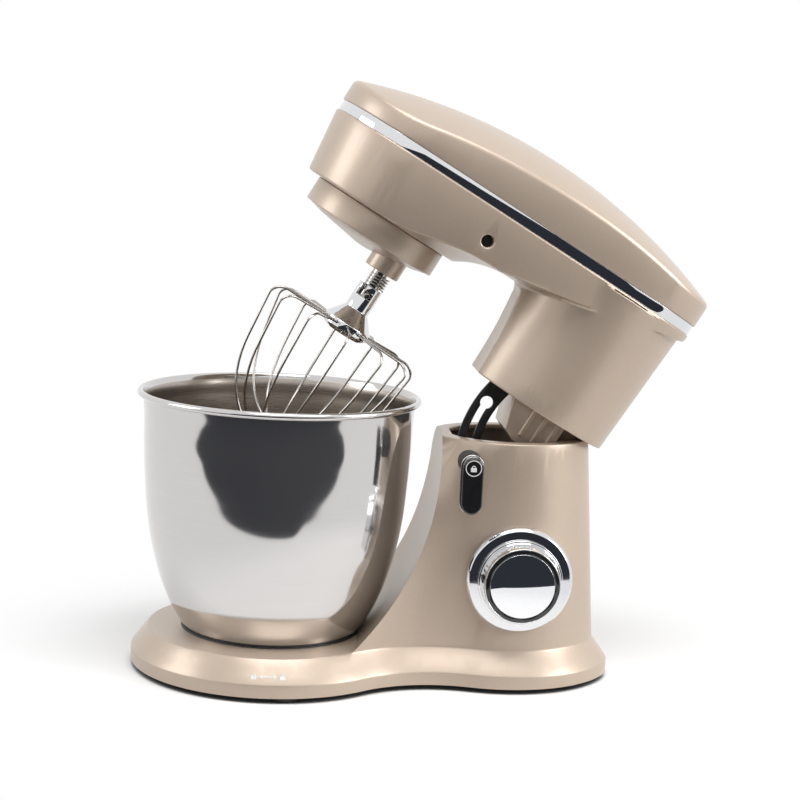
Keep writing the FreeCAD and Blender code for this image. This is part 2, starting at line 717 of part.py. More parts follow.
def make_tongue():
    front_foot = hinge_z - knuckle_radius
    profile = ((tongue_front, neck_bottom), (tongue_front + 8, front_foot + 4), (tongue_front + 16, front_foot),
               (tongue_split_x, front_foot), (tongue_split_x, neck_bottom))
    front = side_profile(profile, -tongue_half, tongue_half)
    rear = side_profile(((tongue_split_x, front_foot), (hinge_x, front_foot), (hinge_x, hinge_z + knuckle_radius),
                         (tongue_split_x + 14, neck_bottom), (tongue_split_x, neck_bottom)),
                        -knuckle_half, knuckle_half)
    knuckle = crosswise(hinge_x, hinge_z, -knuckle_half, knuckle_half, knuckle_radius)
    ribs = []
    for step in range(3):
        x = tongue_front + 18 + 10 * step
        ribs.append(block(x, x + 2.5, -tongue_half - 2, -tongue_half, front_foot + 6, neck_bottom))
    tongue = merged(front, rear, knuckle, *ribs)
    pieces["hinge_tongue"] = tongue.cut(crosswise(hinge_x, hinge_z, -pin_half, pin_half, pin_radius + shaft_gap))

    # key-hole plate: a band bent round the hinge, with a round hole at each end of a narrow channel
    y0 = lock_plate_y - lock_plate_thickness / 2
    half_band = lock_radius + seat_gap + lock_plate_margin
    outer = crosswise(hinge_x, hinge_z, y0, y0 + lock_plate_thickness, lock_reach + half_band)
    band = outer.cut(crosswise(hinge_x, hinge_z, y0, y0 + lock_plate_thickness, lock_reach - half_band))
    low_end = lock_point(open_angle)
    end_disc = crosswise(low_end.x, low_end.z, y0, y0 + lock_plate_thickness, half_band)
    toward = (low_end - hinge).normalize() * (2 * lock_reach)
    keep = side_profile(((hinge_x, hinge_z), (hinge_x + toward.x, hinge_z + toward.z),
                         (hinge_x - 2 * lock_reach, neck_bottom), (hinge_x, neck_bottom)),
                        y0, y0 + lock_plate_thickness)
    plate = merged(band.common(keep), end_disc)
    channel_half = lock_flat / 2 + seat_gap
    channel = crosswise(hinge_x, hinge_z, y0 - 1, y0 + lock_plate_thickness + 1, lock_reach + channel_half)
    channel = channel.cut(crosswise(hinge_x, hinge_z, y0 - 1, y0 + lock_plate_thickness + 1,
                                    lock_reach - channel_half))
    high_end = lock_point(0)
    toward_high = (high_end - hinge) * 2
    channel = channel.common(side_profile(((hinge_x, hinge_z), (hinge_x + toward.x, hinge_z + toward.z),
                                           (hinge_x + toward_high.x, hinge_z + toward_high.z)),
                                          y0 - 1, y0 + lock_plate_thickness + 1))
    holes = [crosswise(p.x, p.z, y0 - 1, y0 + lock_plate_thickness + 1, lock_radius + seat_gap)
             for p in (low_end, high_end)]
    pieces["lock_plate"] = plate.cut(Part.makeCompound([channel] + holes))


def lock_point(angle):
    # where the lock shaft stands in the closed head's frame once the head is open by this angle
    turn = math.radians(-angle)
    dx = lever_x - hinge_x
    dz = lever_z - hinge_z
    return Vector(hinge_x + dx * math.cos(turn) + dz * math.sin(turn), 0,
                  hinge_z - dx * math.sin(turn) + dz * math.cos(turn))


# Gears

def involute(radius, base):
    angle = math.acos(min(1.0, base / radius))
    return math.tan(angle) - angle


def gear_outline(teeth, module, addendum, dedendum, play, x, z, phase):
    pitch = module * teeth / 2
    base = pitch * math.cos(math.radians(20))
    tip = pitch + addendum * module
    root = pitch - dedendum * module
    half = math.pi / (2 * teeth) - play / (2 * pitch) + involute(pitch, base)
    wide = half - involute(max(root, base), base)
    narrow = half - involute(tip, base)
    points = []
    for tooth in range(teeth):
        middle = math.radians(phase) + 2 * math.pi * tooth / teeth
        for radius, angle in ((root, -wide), (tip, -narrow), (tip, narrow), (root, wide)):
            points.append(Vector(x + radius * math.cos(middle + angle), radius * math.sin(middle + angle), z))
    return Part.makePolygon(points + points[:1])


def spur_gear(teeth, module, x, z0, width, bore, phase):
    wire = gear_outline(teeth, module, 0.9, 1.25, tooth_play, x, z0, phase)
    return solid_from(wire, width).cut(upright(x, 0, z0, z0 + width, bore + shaft_gap))


def gap_towards_front(teeth):
    return 180 + 180 / teeth


def ring_opening():
    return planet_orbit + gear_module * (planet_teeth / 2 + 1) + 3 * seat_gap


def make_drive_fixed():
    ring_z = nose_bottom + head_wall
    space = gear_outline(ring_teeth, gear_module, 1.25, 0.9, -tooth_play, 0, ring_z, 0)
    outer = gear_module * ring_teeth / 2 + ring_rim
    pieces["ring_gear"] = upright(0, 0, ring_z, ring_z + gear_width, outer).cut(solid_from(space, gear_width))

    deck = body_loft(head_wall + seat_gap + 2, deck_z, deck_z + deck_thickness)
    deck = deck.common(block(head_front, motor_x + motor_radius * 0.6, -head_half, head_half, deck_z,
                             deck_z + deck_thickness)).cut(heel_cutter(head_wall + seat_gap))
    posts = []
    for angle in (60, 140, 220, 300):
        reach = outer + deck_post_radius + 3
        x = reach * math.cos(math.radians(angle))
        y = reach * math.sin(math.radians(angle))
        posts.append(upright(x, y, ring_z, deck_z, deck_post_radius))
    deck = merged(deck, *posts)
    bush_outer = shaft_radius + bush_wall
    slim_outer = slim_shaft_radius + bush_wall
    boss_room = flank_hole_radius + head_wall + seat_gap
    deck = deck.cut(Part.makeCompound([upright(0, 0, ring_z, bracket_z, bush_outer + shaft_gap),
                                       upright(idler_x, 0, ring_z, bracket_z, slim_outer + shaft_gap),
                                       crosswise(flank_screw_x, flank_screw_z, -head_half, -head_half / 2, boss_room),
                                       crosswise(flank_screw_x, flank_screw_z, head_half / 2, head_half, boss_room)]))
    pieces["gearbox_plate"] = deck
    bracket_top = bracket_z + deck_thickness
    bushes = [tube(0, 0, deck_z - 4, main_gear_z - seat_gap, bush_outer, shaft_radius + shaft_gap),
              tube(idler_x, 0, deck_z, deck_z + deck_thickness, slim_outer, slim_shaft_radius + shaft_gap),
              tube(idler_x, 0, bracket_z, bracket_top, slim_outer, slim_shaft_radius + shaft_gap),
              tube(motor_x, 0, bracket_z, bracket_top, slim_outer, slim_shaft_radius + shaft_gap),
              tube(motor_x, 0, can_top - deck_thickness, can_top, slim_outer, slim_shaft_radius + shaft_gap)]
    pieces["drive_bushes"] = Part.makeCompound(bushes)

    front_x = idler_x / 2
    side_y = head_half - 18
    bracket = solid_from(oval(head_oval, bracket_z, head_wall + 6), deck_thickness)
    bracket = bracket.common(block(front_x - 8, motor_x + motor_radius + 6, -head_half, head_half, bracket_z,
                                   bracket_top))
    legs = []
    for x, y in ((front_x, side_y), (motor_x + motor_radius * 0.4, side_y - 8)):
        for sign in (-1, 1):
            legs.append(upright(x, sign * y, deck_z + deck_thickness, bracket_z, deck_post_radius - 1))
    bracket = merged(bracket, *legs)
    bracket = bracket.cut(Part.makeCompound([upright(x, 0, bracket_z, bracket_top, slim_outer + shaft_gap)
                                             for x in (idler_x, motor_x)]))
    pieces["motor_bracket"] = bracket

    can = tube(motor_x, 0, bracket_top, can_top, motor_radius + motor_can_wall, motor_radius + shaft_gap)
    lid = tube(motor_x, 0, can_top - deck_thickness, can_top, motor_radius + motor_can_wall, slim_outer + shaft_gap)
    windows = []
    for angle in range(0, 360, 90):
        window = block(motor_x + motor_radius / 2, motor_x + 2 * motor_radius, -8, 8, bracket_top + 1, stator_z - 1)
        window.rotate(Vector(motor_x, 0, 0), Vector(0, 0, 1), angle + 45)
        windows.append(window)
    pieces["motor_frame"] = merged(can, lid).cut(Part.makeCompound(windows))
    stator_top = stator_z + stator_height
    pieces["motor_stator"] = tube(motor_x, 0, stator_z, stator_top, motor_radius, stator_bore)
    coil_in = stator_bore + 1.5
    coil_out = motor_radius - 1
    pieces["field_coils"] = Part.makeCompound([
        tube(motor_x, 0, bracket_top + seat_gap, stator_z - shaft_gap, coil_out, coil_in),
        tube(motor_x, 0, stator_top + shaft_gap, stator_top + 5, coil_out, coil_in)])
    holders = []
    brushes = []
    brush_z = stator_top + 3
    brush_top = can_top - deck_thickness
    for sign in (-1, 1):
        near, far = sorted((sign * (commutator_radius + 3), sign * (coil_in - 1)))
        shell = block(motor_x - 4.5, motor_x + 4.5, near, far, brush_z, brush_top)
        tunnel = block(motor_x - 3, motor_x + 3, near, far, brush_z + 1.5, brush_top - 1.5)
        holders.append(shell.cut(tunnel))
        tip, tail = sorted((sign * (commutator_radius + seat_gap), sign * (coil_in - 3)))
        brushes.append(block(motor_x - 3 + shaft_gap, motor_x + 3 - shaft_gap, tip, tail, brush_z + 1.5 + shaft_gap,
                             brush_top - 1.5 - shaft_gap))
    pieces["brush_holders"] = Part.makeCompound(holders)
    pieces["motor_brushes"] = Part.makeCompound(brushes)


def make_drive_turning():
    pieces["main_gear"] = spur_gear(main_teeth, drive_module, 0, main_gear_z, gear_width, shaft_radius, 0)
    pieces["idler_pinion"] = spur_gear(idler_pinion_teeth, drive_module, idler_x, main_gear_z - 1, gear_width + 2,
                                       slim_shaft_radius, gap_towards_front(idler_pinion_teeth))
    pieces["idler_gear"] = spur_gear(idler_teeth, gear_module, idler_x, idler_gear_z, gear_width,
                                     slim_shaft_radius, 0)
    pieces["idler_shaft"] = upright(idler_x, 0, deck_z, bracket_z + deck_thickness, slim_shaft_radius)
    pieces["motor_pinion"] = spur_gear(motor_teeth, gear_module, motor_x, idler_gear_z - 1, gear_width + 2,
                                       slim_shaft_radius, gap_towards_front(motor_teeth))
    pieces["motor_shaft"] = upright(motor_x, 0, idler_gear_z - 1, can_top, slim_shaft_radius)
    bore = slim_shaft_radius + shaft_gap
    core = tube(motor_x, 0, stator_z + 1, stator_z + stator_height - 1, stator_bore - 0.7, bore)
    slots = []
    for step in range(12):
        slot = block(motor_x + stator_bore * 0.55, motor_x + stator_bore, -1.2, 1.2, stator_z, stator_z + stator_height)
        slot.rotate(Vector(motor_x, 0, 0), Vector(0, 0, 1), step * 30)
        slots.append(slot)
    pieces["armature_core"] = core.cut(Part.makeCompound(slots))
    pieces["commutator"] = tube(motor_x, 0, stator_z + stator_height, can_top - deck_thickness - 1,
                                commutator_radius, bore)
    hub = tube(motor_x, 0, bracket_z + deck_thickness + 1, stator_z, slim_shaft_radius + 3, bore)
    blades = []
    for step in range(10):
        blade = block(motor_x + slim_shaft_radius + 2, motor_x + stator_bore - 1, -0.8, 0.8,
                      bracket_z + deck_thickness + 1, stator_z)
        blade.rotate(Vector(motor_x, 0, 0), Vector(0, 0, 1), step * 36)
        blades.append(blade)
    pieces["cooling_fan"] = merged(hub, *blades)


# Planetary drum

def make_planetary():
    hub_radius_drum = shaft_radius + 4
    drum = tube(0, 0, drum_bottom, drum_top, drum_radius, drum_radius - drum_wall)
    roof = upright(0, 0, drum_top - drum_wall, drum_top, drum_radius)
    hub = upright(0, 0, drum_bottom + drum_wall, drum_top, hub_radius_drum)
    boss = upright(planet_orbit, 0, drum_boss_bottom, drum_top, drum_boss_radius)
    drum = merged(drum, roof, hub, boss)
    drum = drum.cut(Part.makeCompound([upright(0, 0, drum_bottom, drum_top, shaft_radius + shaft_gap),
                                       upright(planet_orbit, 0, drum_boss_bottom, drum_top,
                                               shaft_radius + shaft_gap)]))
    pieces["planet_drum"] = drum
    rim = drum_radius - drum_wall - shaft_gap
    knee = drum_radius * 0.75
    knee_z = drum_bottom - 2.8
    cover = turned(((0, drum_cone_tip), (knee, knee_z), (rim, drum_bottom), (rim, drum_bottom + drum_wall),
                    (knee, knee_z + drum_wall), (0, drum_cone_tip + drum_wall)))
    cover = cover.cut(upright(planet_orbit, 0, drum_boss_bottom, drum_top, drum_boss_radius + shaft_gap))
    pieces["drum_cover"] = cover.cut(upright(0, 0, drum_boss_bottom, drum_top, screw_head_radius + 1.4))
    shaft_bottom = drum_bottom + drum_wall
    head = upright(0, 0, drum_cone_tip + drum_wall, shaft_bottom, screw_head_radius + 1)
    socket = upright(0, 0, drum_cone_tip + drum_wall, drum_cone_tip + 2 * drum_wall, screw_head_radius - 1)
    thread = upright(0, 0, shaft_bottom, shaft_bottom + 8, screw_radius)
    pieces["drum_screw"] = merged(head, thread).cut(socket)
    shaft = upright(0, 0, shaft_bottom, idler_gear_z - 1.5, shaft_radius)
    pieces["carrier_shaft"] = shaft.cut(upright(0, 0, shaft_bottom, shaft_bottom + 9, screw_radius + shaft_gap))

    ring_z = nose_bottom + head_wall
    shaft_low = hub_neck + 4
    output = upright(planet_orbit, 0, shaft_low, ring_z + gear_width, shaft_radius)
    pin_bore = crosswise(planet_orbit, cross_pin_z, -cross_pin_half, cross_pin_half, cross_pin_radius + shaft_gap)
    pieces["output_shaft"] = output.cut(pin_bore)
    pieces["cross_pin"] = crosswise(planet_orbit, cross_pin_z, -cross_pin_half, cross_pin_half, cross_pin_radius)
    pieces["planet_pinion"] = spur_gear(planet_teeth, gear_module, planet_orbit, ring_z + 0.5, gear_width - 0.5,
                                        shaft_radius, 0)
    pieces["shaft_collar"] = tube(planet_orbit, 0, drum_top + seat_gap, ring_z, shaft_radius + 2.5,
                                  shaft_radius + shaft_gap)


# Return spring over the output shaft

def tangent_arc(start, tangent, end):
    chord = end - start
    along = Vector(chord).normalize()
    lean = tangent - along * tangent.dot(along)
    half_angle = math.atan2(lean.Length, tangent.dot(along)) / 2
    middle = start + chord * 0.5 + lean.normalize() * (chord.Length / 2 * math.tan(half_angle))
    return middle


def biarc(start, start_way, end, end_way):
    span = end - start
    both = start_way + end_way
    bend = 2 * (1 - start_way.dot(end_way))
    reach = (-span.dot(both) + math.sqrt(span.dot(both) ** 2 + bend * span.dot(span))) / bend
    joint = (start + start_way * reach + end - end_way * reach) * 0.5
    return [arc(start, tangent_arc(start, start_way, joint), joint),
            arc(joint, tangent_arc(end, end_way * -1, joint), end)]


def quarter_bend(start, way, final_way):
    angle = math.acos(way.dot(final_way))
    side = (final_way - way * way.dot(final_way)).normalize()

    def at(turn):
        return start + way * (spring_bend * math.sin(turn)) + side * (spring_bend * (1 - math.cos(turn)))
    return arc(start, at(angle / 2), at(angle)), at(angle)


def make_spring():
    bottom = hub_top
    top = drum_boss_bottom
    tail = spring_wire + spring_bend
    low = bottom + tail
    rise = (top - tail - low) / spring_turns

    def at(turn):
        angle = 2 * math.pi * turn
        return Vector(planet_orbit + spring_radius * math.cos(angle), spring_radius * math.sin(angle),
                      low + rise * turn)

    def way(turn):
        angle = 2 * math.pi * turn
        return Vector(-2 * math.pi * spring_radius * math.sin(angle), 2 * math.pi * spring_radius * math.cos(angle),
                      rise).normalize()
    steps = spring_turns * 4
    edges = []
    for step in range(steps):
        edges += biarc(at(step / 4), way(step / 4), at((step + 1) / 4), way((step + 1) / 4))
    down, low_point = quarter_bend(at(0), way(0) * -1, Vector(0, 0, -1))
    up, high_point = quarter_bend(at(spring_turns), way(spring_turns), Vector(0, 0, 1))
    foot = Vector(low_point.x, low_point.y, bottom)
    peak = Vector(high_point.x, high_point.y, top)
    path = Part.Wire([line(foot, low_point), down] + edges + [up, line(high_point, peak)])
    section = Part.Wire([Part.Circle(foot, Vector(0, 0, 1), spring_wire / 2).toShape()])
    spring = path.makePipeShell([section], True, False)
    pieces["shaft_spring"] = spring

    # least gap between turns, on points a twelfth of a turn apart
    count = spring_turns * 12
    centres = [at(i / 12) for i in range(count + 1)]
    gap = min(centres[i].distanceToPoint(centres[j]) for i in range(count + 1) for j in range(i + 9, count + 1))
    print("spring least gap", round(gap - spring_wire, 3))


# Whisk

def make_whisk():
    x = planet_orbit
    hub = turned(((0, hub_bottom), (hub_skirt_radius * 0.75, hub_bottom), (hub_skirt_radius, hub_bottom + 3),
                  (hub_skirt_radius, hub_skirt_z), (hub_radius, hub_neck), (hub_radius, hub_top), (0, hub_top)), x)
    hub = hub.cut(upright(x, 0, hub_neck + 4 - seat_gap, hub_top, shaft_radius + shaft_gap))
    # bayonet slots for the cross pin
    half_slot = cross_pin_radius + seat_gap
    margin = math.degrees(math.asin(half_slot / shaft_radius))
    slot_face = Part.Face(Part.makePolygon([Vector(x + shaft_radius - 1, 0, cross_pin_z - half_slot),
                                            Vector(x + hub_radius + 1, 0, cross_pin_z - half_slot),
                                            Vector(x + hub_radius + 1, 0, cross_pin_z + half_slot),
                                            Vector(x + shaft_radius - 1, 0, cross_pin_z + half_slot),
                                            Vector(x + shaft_radius - 1, 0, cross_pin_z - half_slot)]))
    for side in (90, 270):
        sweep = slot_face.copy()
        sweep.rotate(Vector(x, 0, 0), Vector(0, 0, 1), side - twist_angle - margin)
        hub = hub.cut(sweep.revolve(Vector(x, 0, 0), Vector(0, 0, 1), twist_angle + 2 * margin))
        entry = block(x + shaft_radius - 1, x + hub_radius + 1, -half_slot, half_slot, cross_pin_z, hub_top)
        entry.rotate(Vector(x, 0, 0), Vector(0, 0, 1), side - twist_angle)
        hub = hub.cut(entry)
    wire_start = hub_skirt_radius * 0.7
    radius = whisk_wire / 2
    loops = []
    sockets = []
    for loop in range(whisk_loops):
        turn = 180.0 * loop / whisk_loops
        tip = whisk_tip + whisk_nest * loop
        centre_z = tip + whisk_side_bottom

        def point(r, z):
            return Vector(x + r, 0, z)
        lean = math.atan2(whisk_shoulder - whisk_side_bottom, whisk_top - whisk_corner - centre_z)
        side_foot = point(whisk_side_bottom * math.cos(lean), centre_z + whisk_side_bottom * math.sin(lean))
        corner = (whisk_shoulder - whisk_corner, whisk_top - whisk_corner)
        side_head = point(corner[0] + whisk_corner * math.cos(lean), corner[1] + whisk_corner * math.sin(lean))
        flat_end = point(corner[0], whisk_top)
        half_way = (math.pi / 2 + lean) / 2
        corner_middle = point(corner[0] + whisk_corner * math.cos(half_way), corner[1] + whisk_corner * math.sin(half_way))
        start = point(wire_start, whisk_top)
        right = [start, flat_end, corner_middle, side_head, side_foot]
        left = [Vector(2 * x - p.x, 0, p.z) for p in right]
        bottom = point(0, tip)
        path = Part.Wire([line(right[0], right[1]), arc(right[1], right[2], right[3]), line(right[3], right[4]),
                          arc(right[4], bottom, left[4]), line(left[4], left[3]), arc(left[3], left[2], left[1]),
                          line(left[1], left[0])])
        section = Part.Wire([Part.Circle(start, Vector(1, 0, 0), radius).toShape()])
        wire = path.makePipeShell([section], True, False)
        wire.rotate(Vector(x, 0, 0), Vector(0, 0, 1), turn)
        loops.append(wire)
        for half in (0, 180):
            socket = Part.makeCylinder(radius + shaft_gap, hub_skirt_radius, Vector(x + wire_start, 0, whisk_top),
                                       Vector(1, 0, 0))
            socket.rotate(Vector(x, 0, 0), Vector(0, 0, 1), turn + half)
            sockets.append(socket)
    pieces["whisk_wires"] = Part.makeCompound(loops)
    pieces["whisk_hub"] = hub.cut(Part.makeCompound(sockets))


head_pieces = ("head_upper_cover", "chrome_band", "head_lower_housing", "flank_screws", "hinge_tongue", "lock_plate",
               "ring_gear", "gearbox_plate", "drive_bushes", "motor_bracket", "motor_frame", "motor_stator",
               "field_coils", "brush_holders", "motor_brushes", "main_gear", "idler_pinion", "idler_gear",
               "idler_shaft", "motor_pinion", "motor_shaft", "armature_core", "commutator", "cooling_fan",
               "planet_drum", "drum_cover", "drum_screw", "carrier_shaft", "output_shaft", "cross_pin",
               "planet_pinion", "shaft_collar", "shaft_spring", "whisk_hub", "whisk_wires")

for make in (make_base, make_seat, make_bowl, make_lever, make_knob, make_head_shell, make_tongue,
             make_drive_fixed, make_drive_turning, make_planetary, make_spring, make_whisk):
    make()

for name in head_pieces:
    pieces[name].rotate(hinge, Vector(0, 1, 0), open_angle)

# The origin lies under the middle of the whole object
reach = [shape.optimalBoundingBox(False, False) for shape in pieces.values()]
middle_x = (min(b.XMin for b in reach) + max(b.XMax for b in reach)) / 2
os.makedirs("parts", exist_ok=True)
for name, shape in pieces.items():
    shape.translate(Vector(-middle_x, 0, 0))
    shape.exportStep("parts/" + name + ".step")

tilt = math.radians(open_angle)
print("origin shift", round(middle_x, 4))
print("top", round(max(b.ZMax for b in reach), 3), "half width", round(max(b.YMax for b in reach), 3))
for label, x in (("drive axis", 0.0), ("planet axis", planet_orbit), ("idler axis", idler_x), ("motor axis", motor_x)):
    dx = x - hinge_x
    dz = nose_bottom - hinge_z
    print(label, round(hinge_x + dx * math.cos(tilt) + dz * math.sin(tilt) - middle_x, 4),
          round(hinge_z - dx * math.sin(tilt) + dz * math.cos(tilt), 4))
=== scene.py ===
import json
import math

import bmesh
import bpy
from mathutils import Matrix, Vector


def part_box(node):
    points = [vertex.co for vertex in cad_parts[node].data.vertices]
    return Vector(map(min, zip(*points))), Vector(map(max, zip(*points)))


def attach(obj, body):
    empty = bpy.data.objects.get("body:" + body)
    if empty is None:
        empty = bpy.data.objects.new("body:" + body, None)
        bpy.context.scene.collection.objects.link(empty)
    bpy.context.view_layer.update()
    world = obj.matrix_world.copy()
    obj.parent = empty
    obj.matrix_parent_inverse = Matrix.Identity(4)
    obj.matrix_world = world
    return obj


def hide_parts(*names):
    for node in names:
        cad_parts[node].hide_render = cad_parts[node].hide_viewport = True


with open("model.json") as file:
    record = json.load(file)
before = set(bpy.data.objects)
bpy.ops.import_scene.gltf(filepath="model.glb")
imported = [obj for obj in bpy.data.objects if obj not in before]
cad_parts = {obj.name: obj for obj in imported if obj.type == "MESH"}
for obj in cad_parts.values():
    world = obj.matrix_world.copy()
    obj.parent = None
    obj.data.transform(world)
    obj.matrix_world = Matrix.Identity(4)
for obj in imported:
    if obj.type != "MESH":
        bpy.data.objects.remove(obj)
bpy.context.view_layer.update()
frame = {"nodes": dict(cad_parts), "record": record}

scene = bpy.context.scene
scene.view_settings.view_transform = "Standard"
mm = 0.001
print("frame loaded:", len(frame["nodes"]), "nodes")


# working habits: clear the selection, pick faces and edges by place, apply modifiers at once

def deselectAll():
    if bpy.context.mode != "OBJECT":
        bpy.ops.object.mode_set(mode="OBJECT")
    bpy.ops.object.select_all(action="DESELECT")


def makeActive(piece):
    deselectAll()
    piece.select_set(True)
    bpy.context.view_layer.objects.active = piece


def startEdit(piece, selectMode="EDGE"):
    makeActive(piece)
    bpy.ops.object.mode_set(mode="EDIT")
    bpy.ops.mesh.select_mode(type=selectMode)
    bpy.ops.mesh.select_all(action="DESELECT")
    return bmesh.from_edit_mesh(piece.data)


def stopEdit():
    bpy.ops.object.mode_set(mode="OBJECT")


def applyModifier(piece, kind, **values):
    makeActive(piece)
    bpy.ops.object.modifier_add(type=kind)
    modifier = piece.modifiers[-1]
    for name, value in values.items():
        setattr(modifier, name, value)
    bpy.ops.object.modifier_apply(modifier=modifier.name)


copyValues = {"weld": 0.012, "flat": 0.4, "profile": 0.5}


def takeCopy(nodeName, pieceName):
    piece = bpy.data.objects.new(pieceName, frame["nodes"][nodeName].data.copy())
    piece.data.name = pieceName
    scene.collection.objects.link(piece)
    makeActive(piece)
    if piece.data.has_custom_normals:
        bpy.ops.mesh.customdata_custom_splitnormals_clear()
    bpy.ops.object.mode_set(mode="EDIT")
    bpy.ops.mesh.select_all(action="SELECT")
    bpy.ops.mesh.remove_doubles(threshold=copyValues["weld"] * mm)
    bpy.ops.mesh.dissolve_limited(angle_limit=math.radians(copyValues["flat"]), use_dissolve_boundaries=False)
    bpy.ops.mesh.select_all(action="DESELECT")
    stopEdit()
    return piece


def bevelSelected(piece, mesh, count, width, segments):
    mesh.select_flush_mode()
    bmesh.update_edit_mesh(piece.data)
    if count:
        bpy.ops.mesh.bevel(offset=width * mm, segments=segments, profile=copyValues["profile"],
                           clamp_overlap=False, affect="EDGES")
    stopEdit()


def softenEdges(piece, width, segments, wanted, sharpest):
    mesh = startEdit(piece)
    count = 0
    for edge in mesh.edges:
        if len(edge.link_faces) != 2:
            continue
        if edge.calc_face_angle(0) < math.radians(sharpest):
            continue
        middle = (edge.verts[0].co + edge.verts[1].co) / 2
        if wanted(middle):
            edge.select = True
            count += 1
    bevelSelected(piece, mesh, count, width, segments)
    return count


def smoothShade(piece, angle):
    makeActive(piece)
    bpy.ops.object.shade_smooth_by_angle(angle=math.radians(angle))


def putMaterial(piece, *materials):
    piece.data.materials.clear()
    for material in materials:
        piece.data.materials.append(material)


def settle(piece, body, slot, *nodes):
    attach(piece, body)
    if nodes:
        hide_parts(*nodes)


# node helpers

def newNode(tree, kind, **values):
    node = tree.nodes.new(kind)
    for name, value in values.items():
        setattr(node, name, value)
    return node


def join(tree, source, output, target, entry):
    tree.links.new(source.outputs[output], target.inputs[entry])


def newGroup(name, entries, results):
    group = bpy.data.node_groups.new(name, "ShaderNodeTree")
    for label, kind, value in entries:
        socket = group.interface.new_socket(label, in_out="INPUT", socket_type=kind)
        if value is not None:
            socket.default_value = value
    for label, kind in results:
        group.interface.new_socket(label, in_out="OUTPUT", socket_type=kind)
    return group, newNode(group, "NodeGroupInput"), newNode(group, "NodeGroupOutput")


def placeGroup(tree, group, **values):
    node = newNode(tree, "ShaderNodeGroup", node_tree=group)
    for label, value in values.items():
        node.inputs[label].default_value = value
    return node


def mathNode(tree, operation, second=None):
    node = newNode(tree, "ShaderNodeMath", operation=operation)
    if second is not None:
        node.inputs[1].default_value = second
    return node


# effects that several finishes share

speckleValues = {"grainDetail": 2.0, "cloudDetail": 3.0, "grainShare": 0.75, "cloudShare": 0.25,
                 "from": 0.3, "to": 0.7}
brushValues = {"detail": 4.0, "roughness": 0.7, "smudge": 22.0, "lineShare": 0.6, "smudgeShare": 0.4,
               "from": 0.25, "to": 0.75}


def makeSpeckle(v):
    group, entry, result = newGroup(
        "fineSpeckle",
        [("Vector", "NodeSocketVector", None), ("Light", "NodeSocketColor", (0.8, 0.8, 0.8, 1)),
         ("Dark", "NodeSocketColor", (0.6, 0.6, 0.6, 1)), ("Grain", "NodeSocketFloat", 1500.0),
         ("Cloud", "NodeSocketFloat", 14.0), ("Gloss low", "NodeSocketFloat", 0.3),
         ("Gloss high", "NodeSocketFloat", 0.4)],
        [("Color", "NodeSocketColor"), ("Roughness", "NodeSocketFloat"), ("Height", "NodeSocketFloat")])
    grain = newNode(group, "ShaderNodeTexNoise")
    grain.inputs["Detail"].default_value = v["grainDetail"]
    cloud = newNode(group, "ShaderNodeTexNoise")
    cloud.inputs["Detail"].default_value = v["cloudDetail"]
    mixed = mathNode(group, "MULTIPLY_ADD", v["grainShare"])
    share = mathNode(group, "MULTIPLY", v["cloudShare"])
    ramp = newNode(group, "ShaderNodeMapRange")
    ramp.inputs["From Min"].default_value = v["from"]
    ramp.inputs["From Max"].default_value = v["to"]
    tone = newNode(group, "ShaderNodeMix", data_type="RGBA")
    gloss = newNode(group, "ShaderNodeMapRange")
    gloss.inputs["From Min"].default_value = v["from"]
    gloss.inputs["From Max"].default_value = v["to"]
    join(group, entry, "Vector", grain, "Vector")
    join(group, entry, "Vector", cloud, "Vector")
    join(group, entry, "Grain", grain, "Scale")
    join(group, entry, "Cloud", cloud, "Scale")
    join(group, cloud, "Fac", share, 0)
    join(group, grain, "Fac", mixed, 0)
    join(group, share, 0, mixed, 2)
    join(group, mixed, 0, ramp, "Value")
    join(group, ramp, 0, tone, 0)
    group.links.new(entry.outputs["Dark"], tone.inputs[6])
    group.links.new(entry.outputs["Light"], tone.inputs[7])
    join(group, cloud, "Fac", gloss, "Value")
    join(group, entry, "Gloss low", gloss, "To Min")
    join(group, entry, "Gloss high", gloss, "To Max")
    group.links.new(tone.outputs[2], result.inputs["Color"])
    join(group, gloss, 0, result, "Roughness")
    join(group, grain, "Fac", result, "Height")
    return group


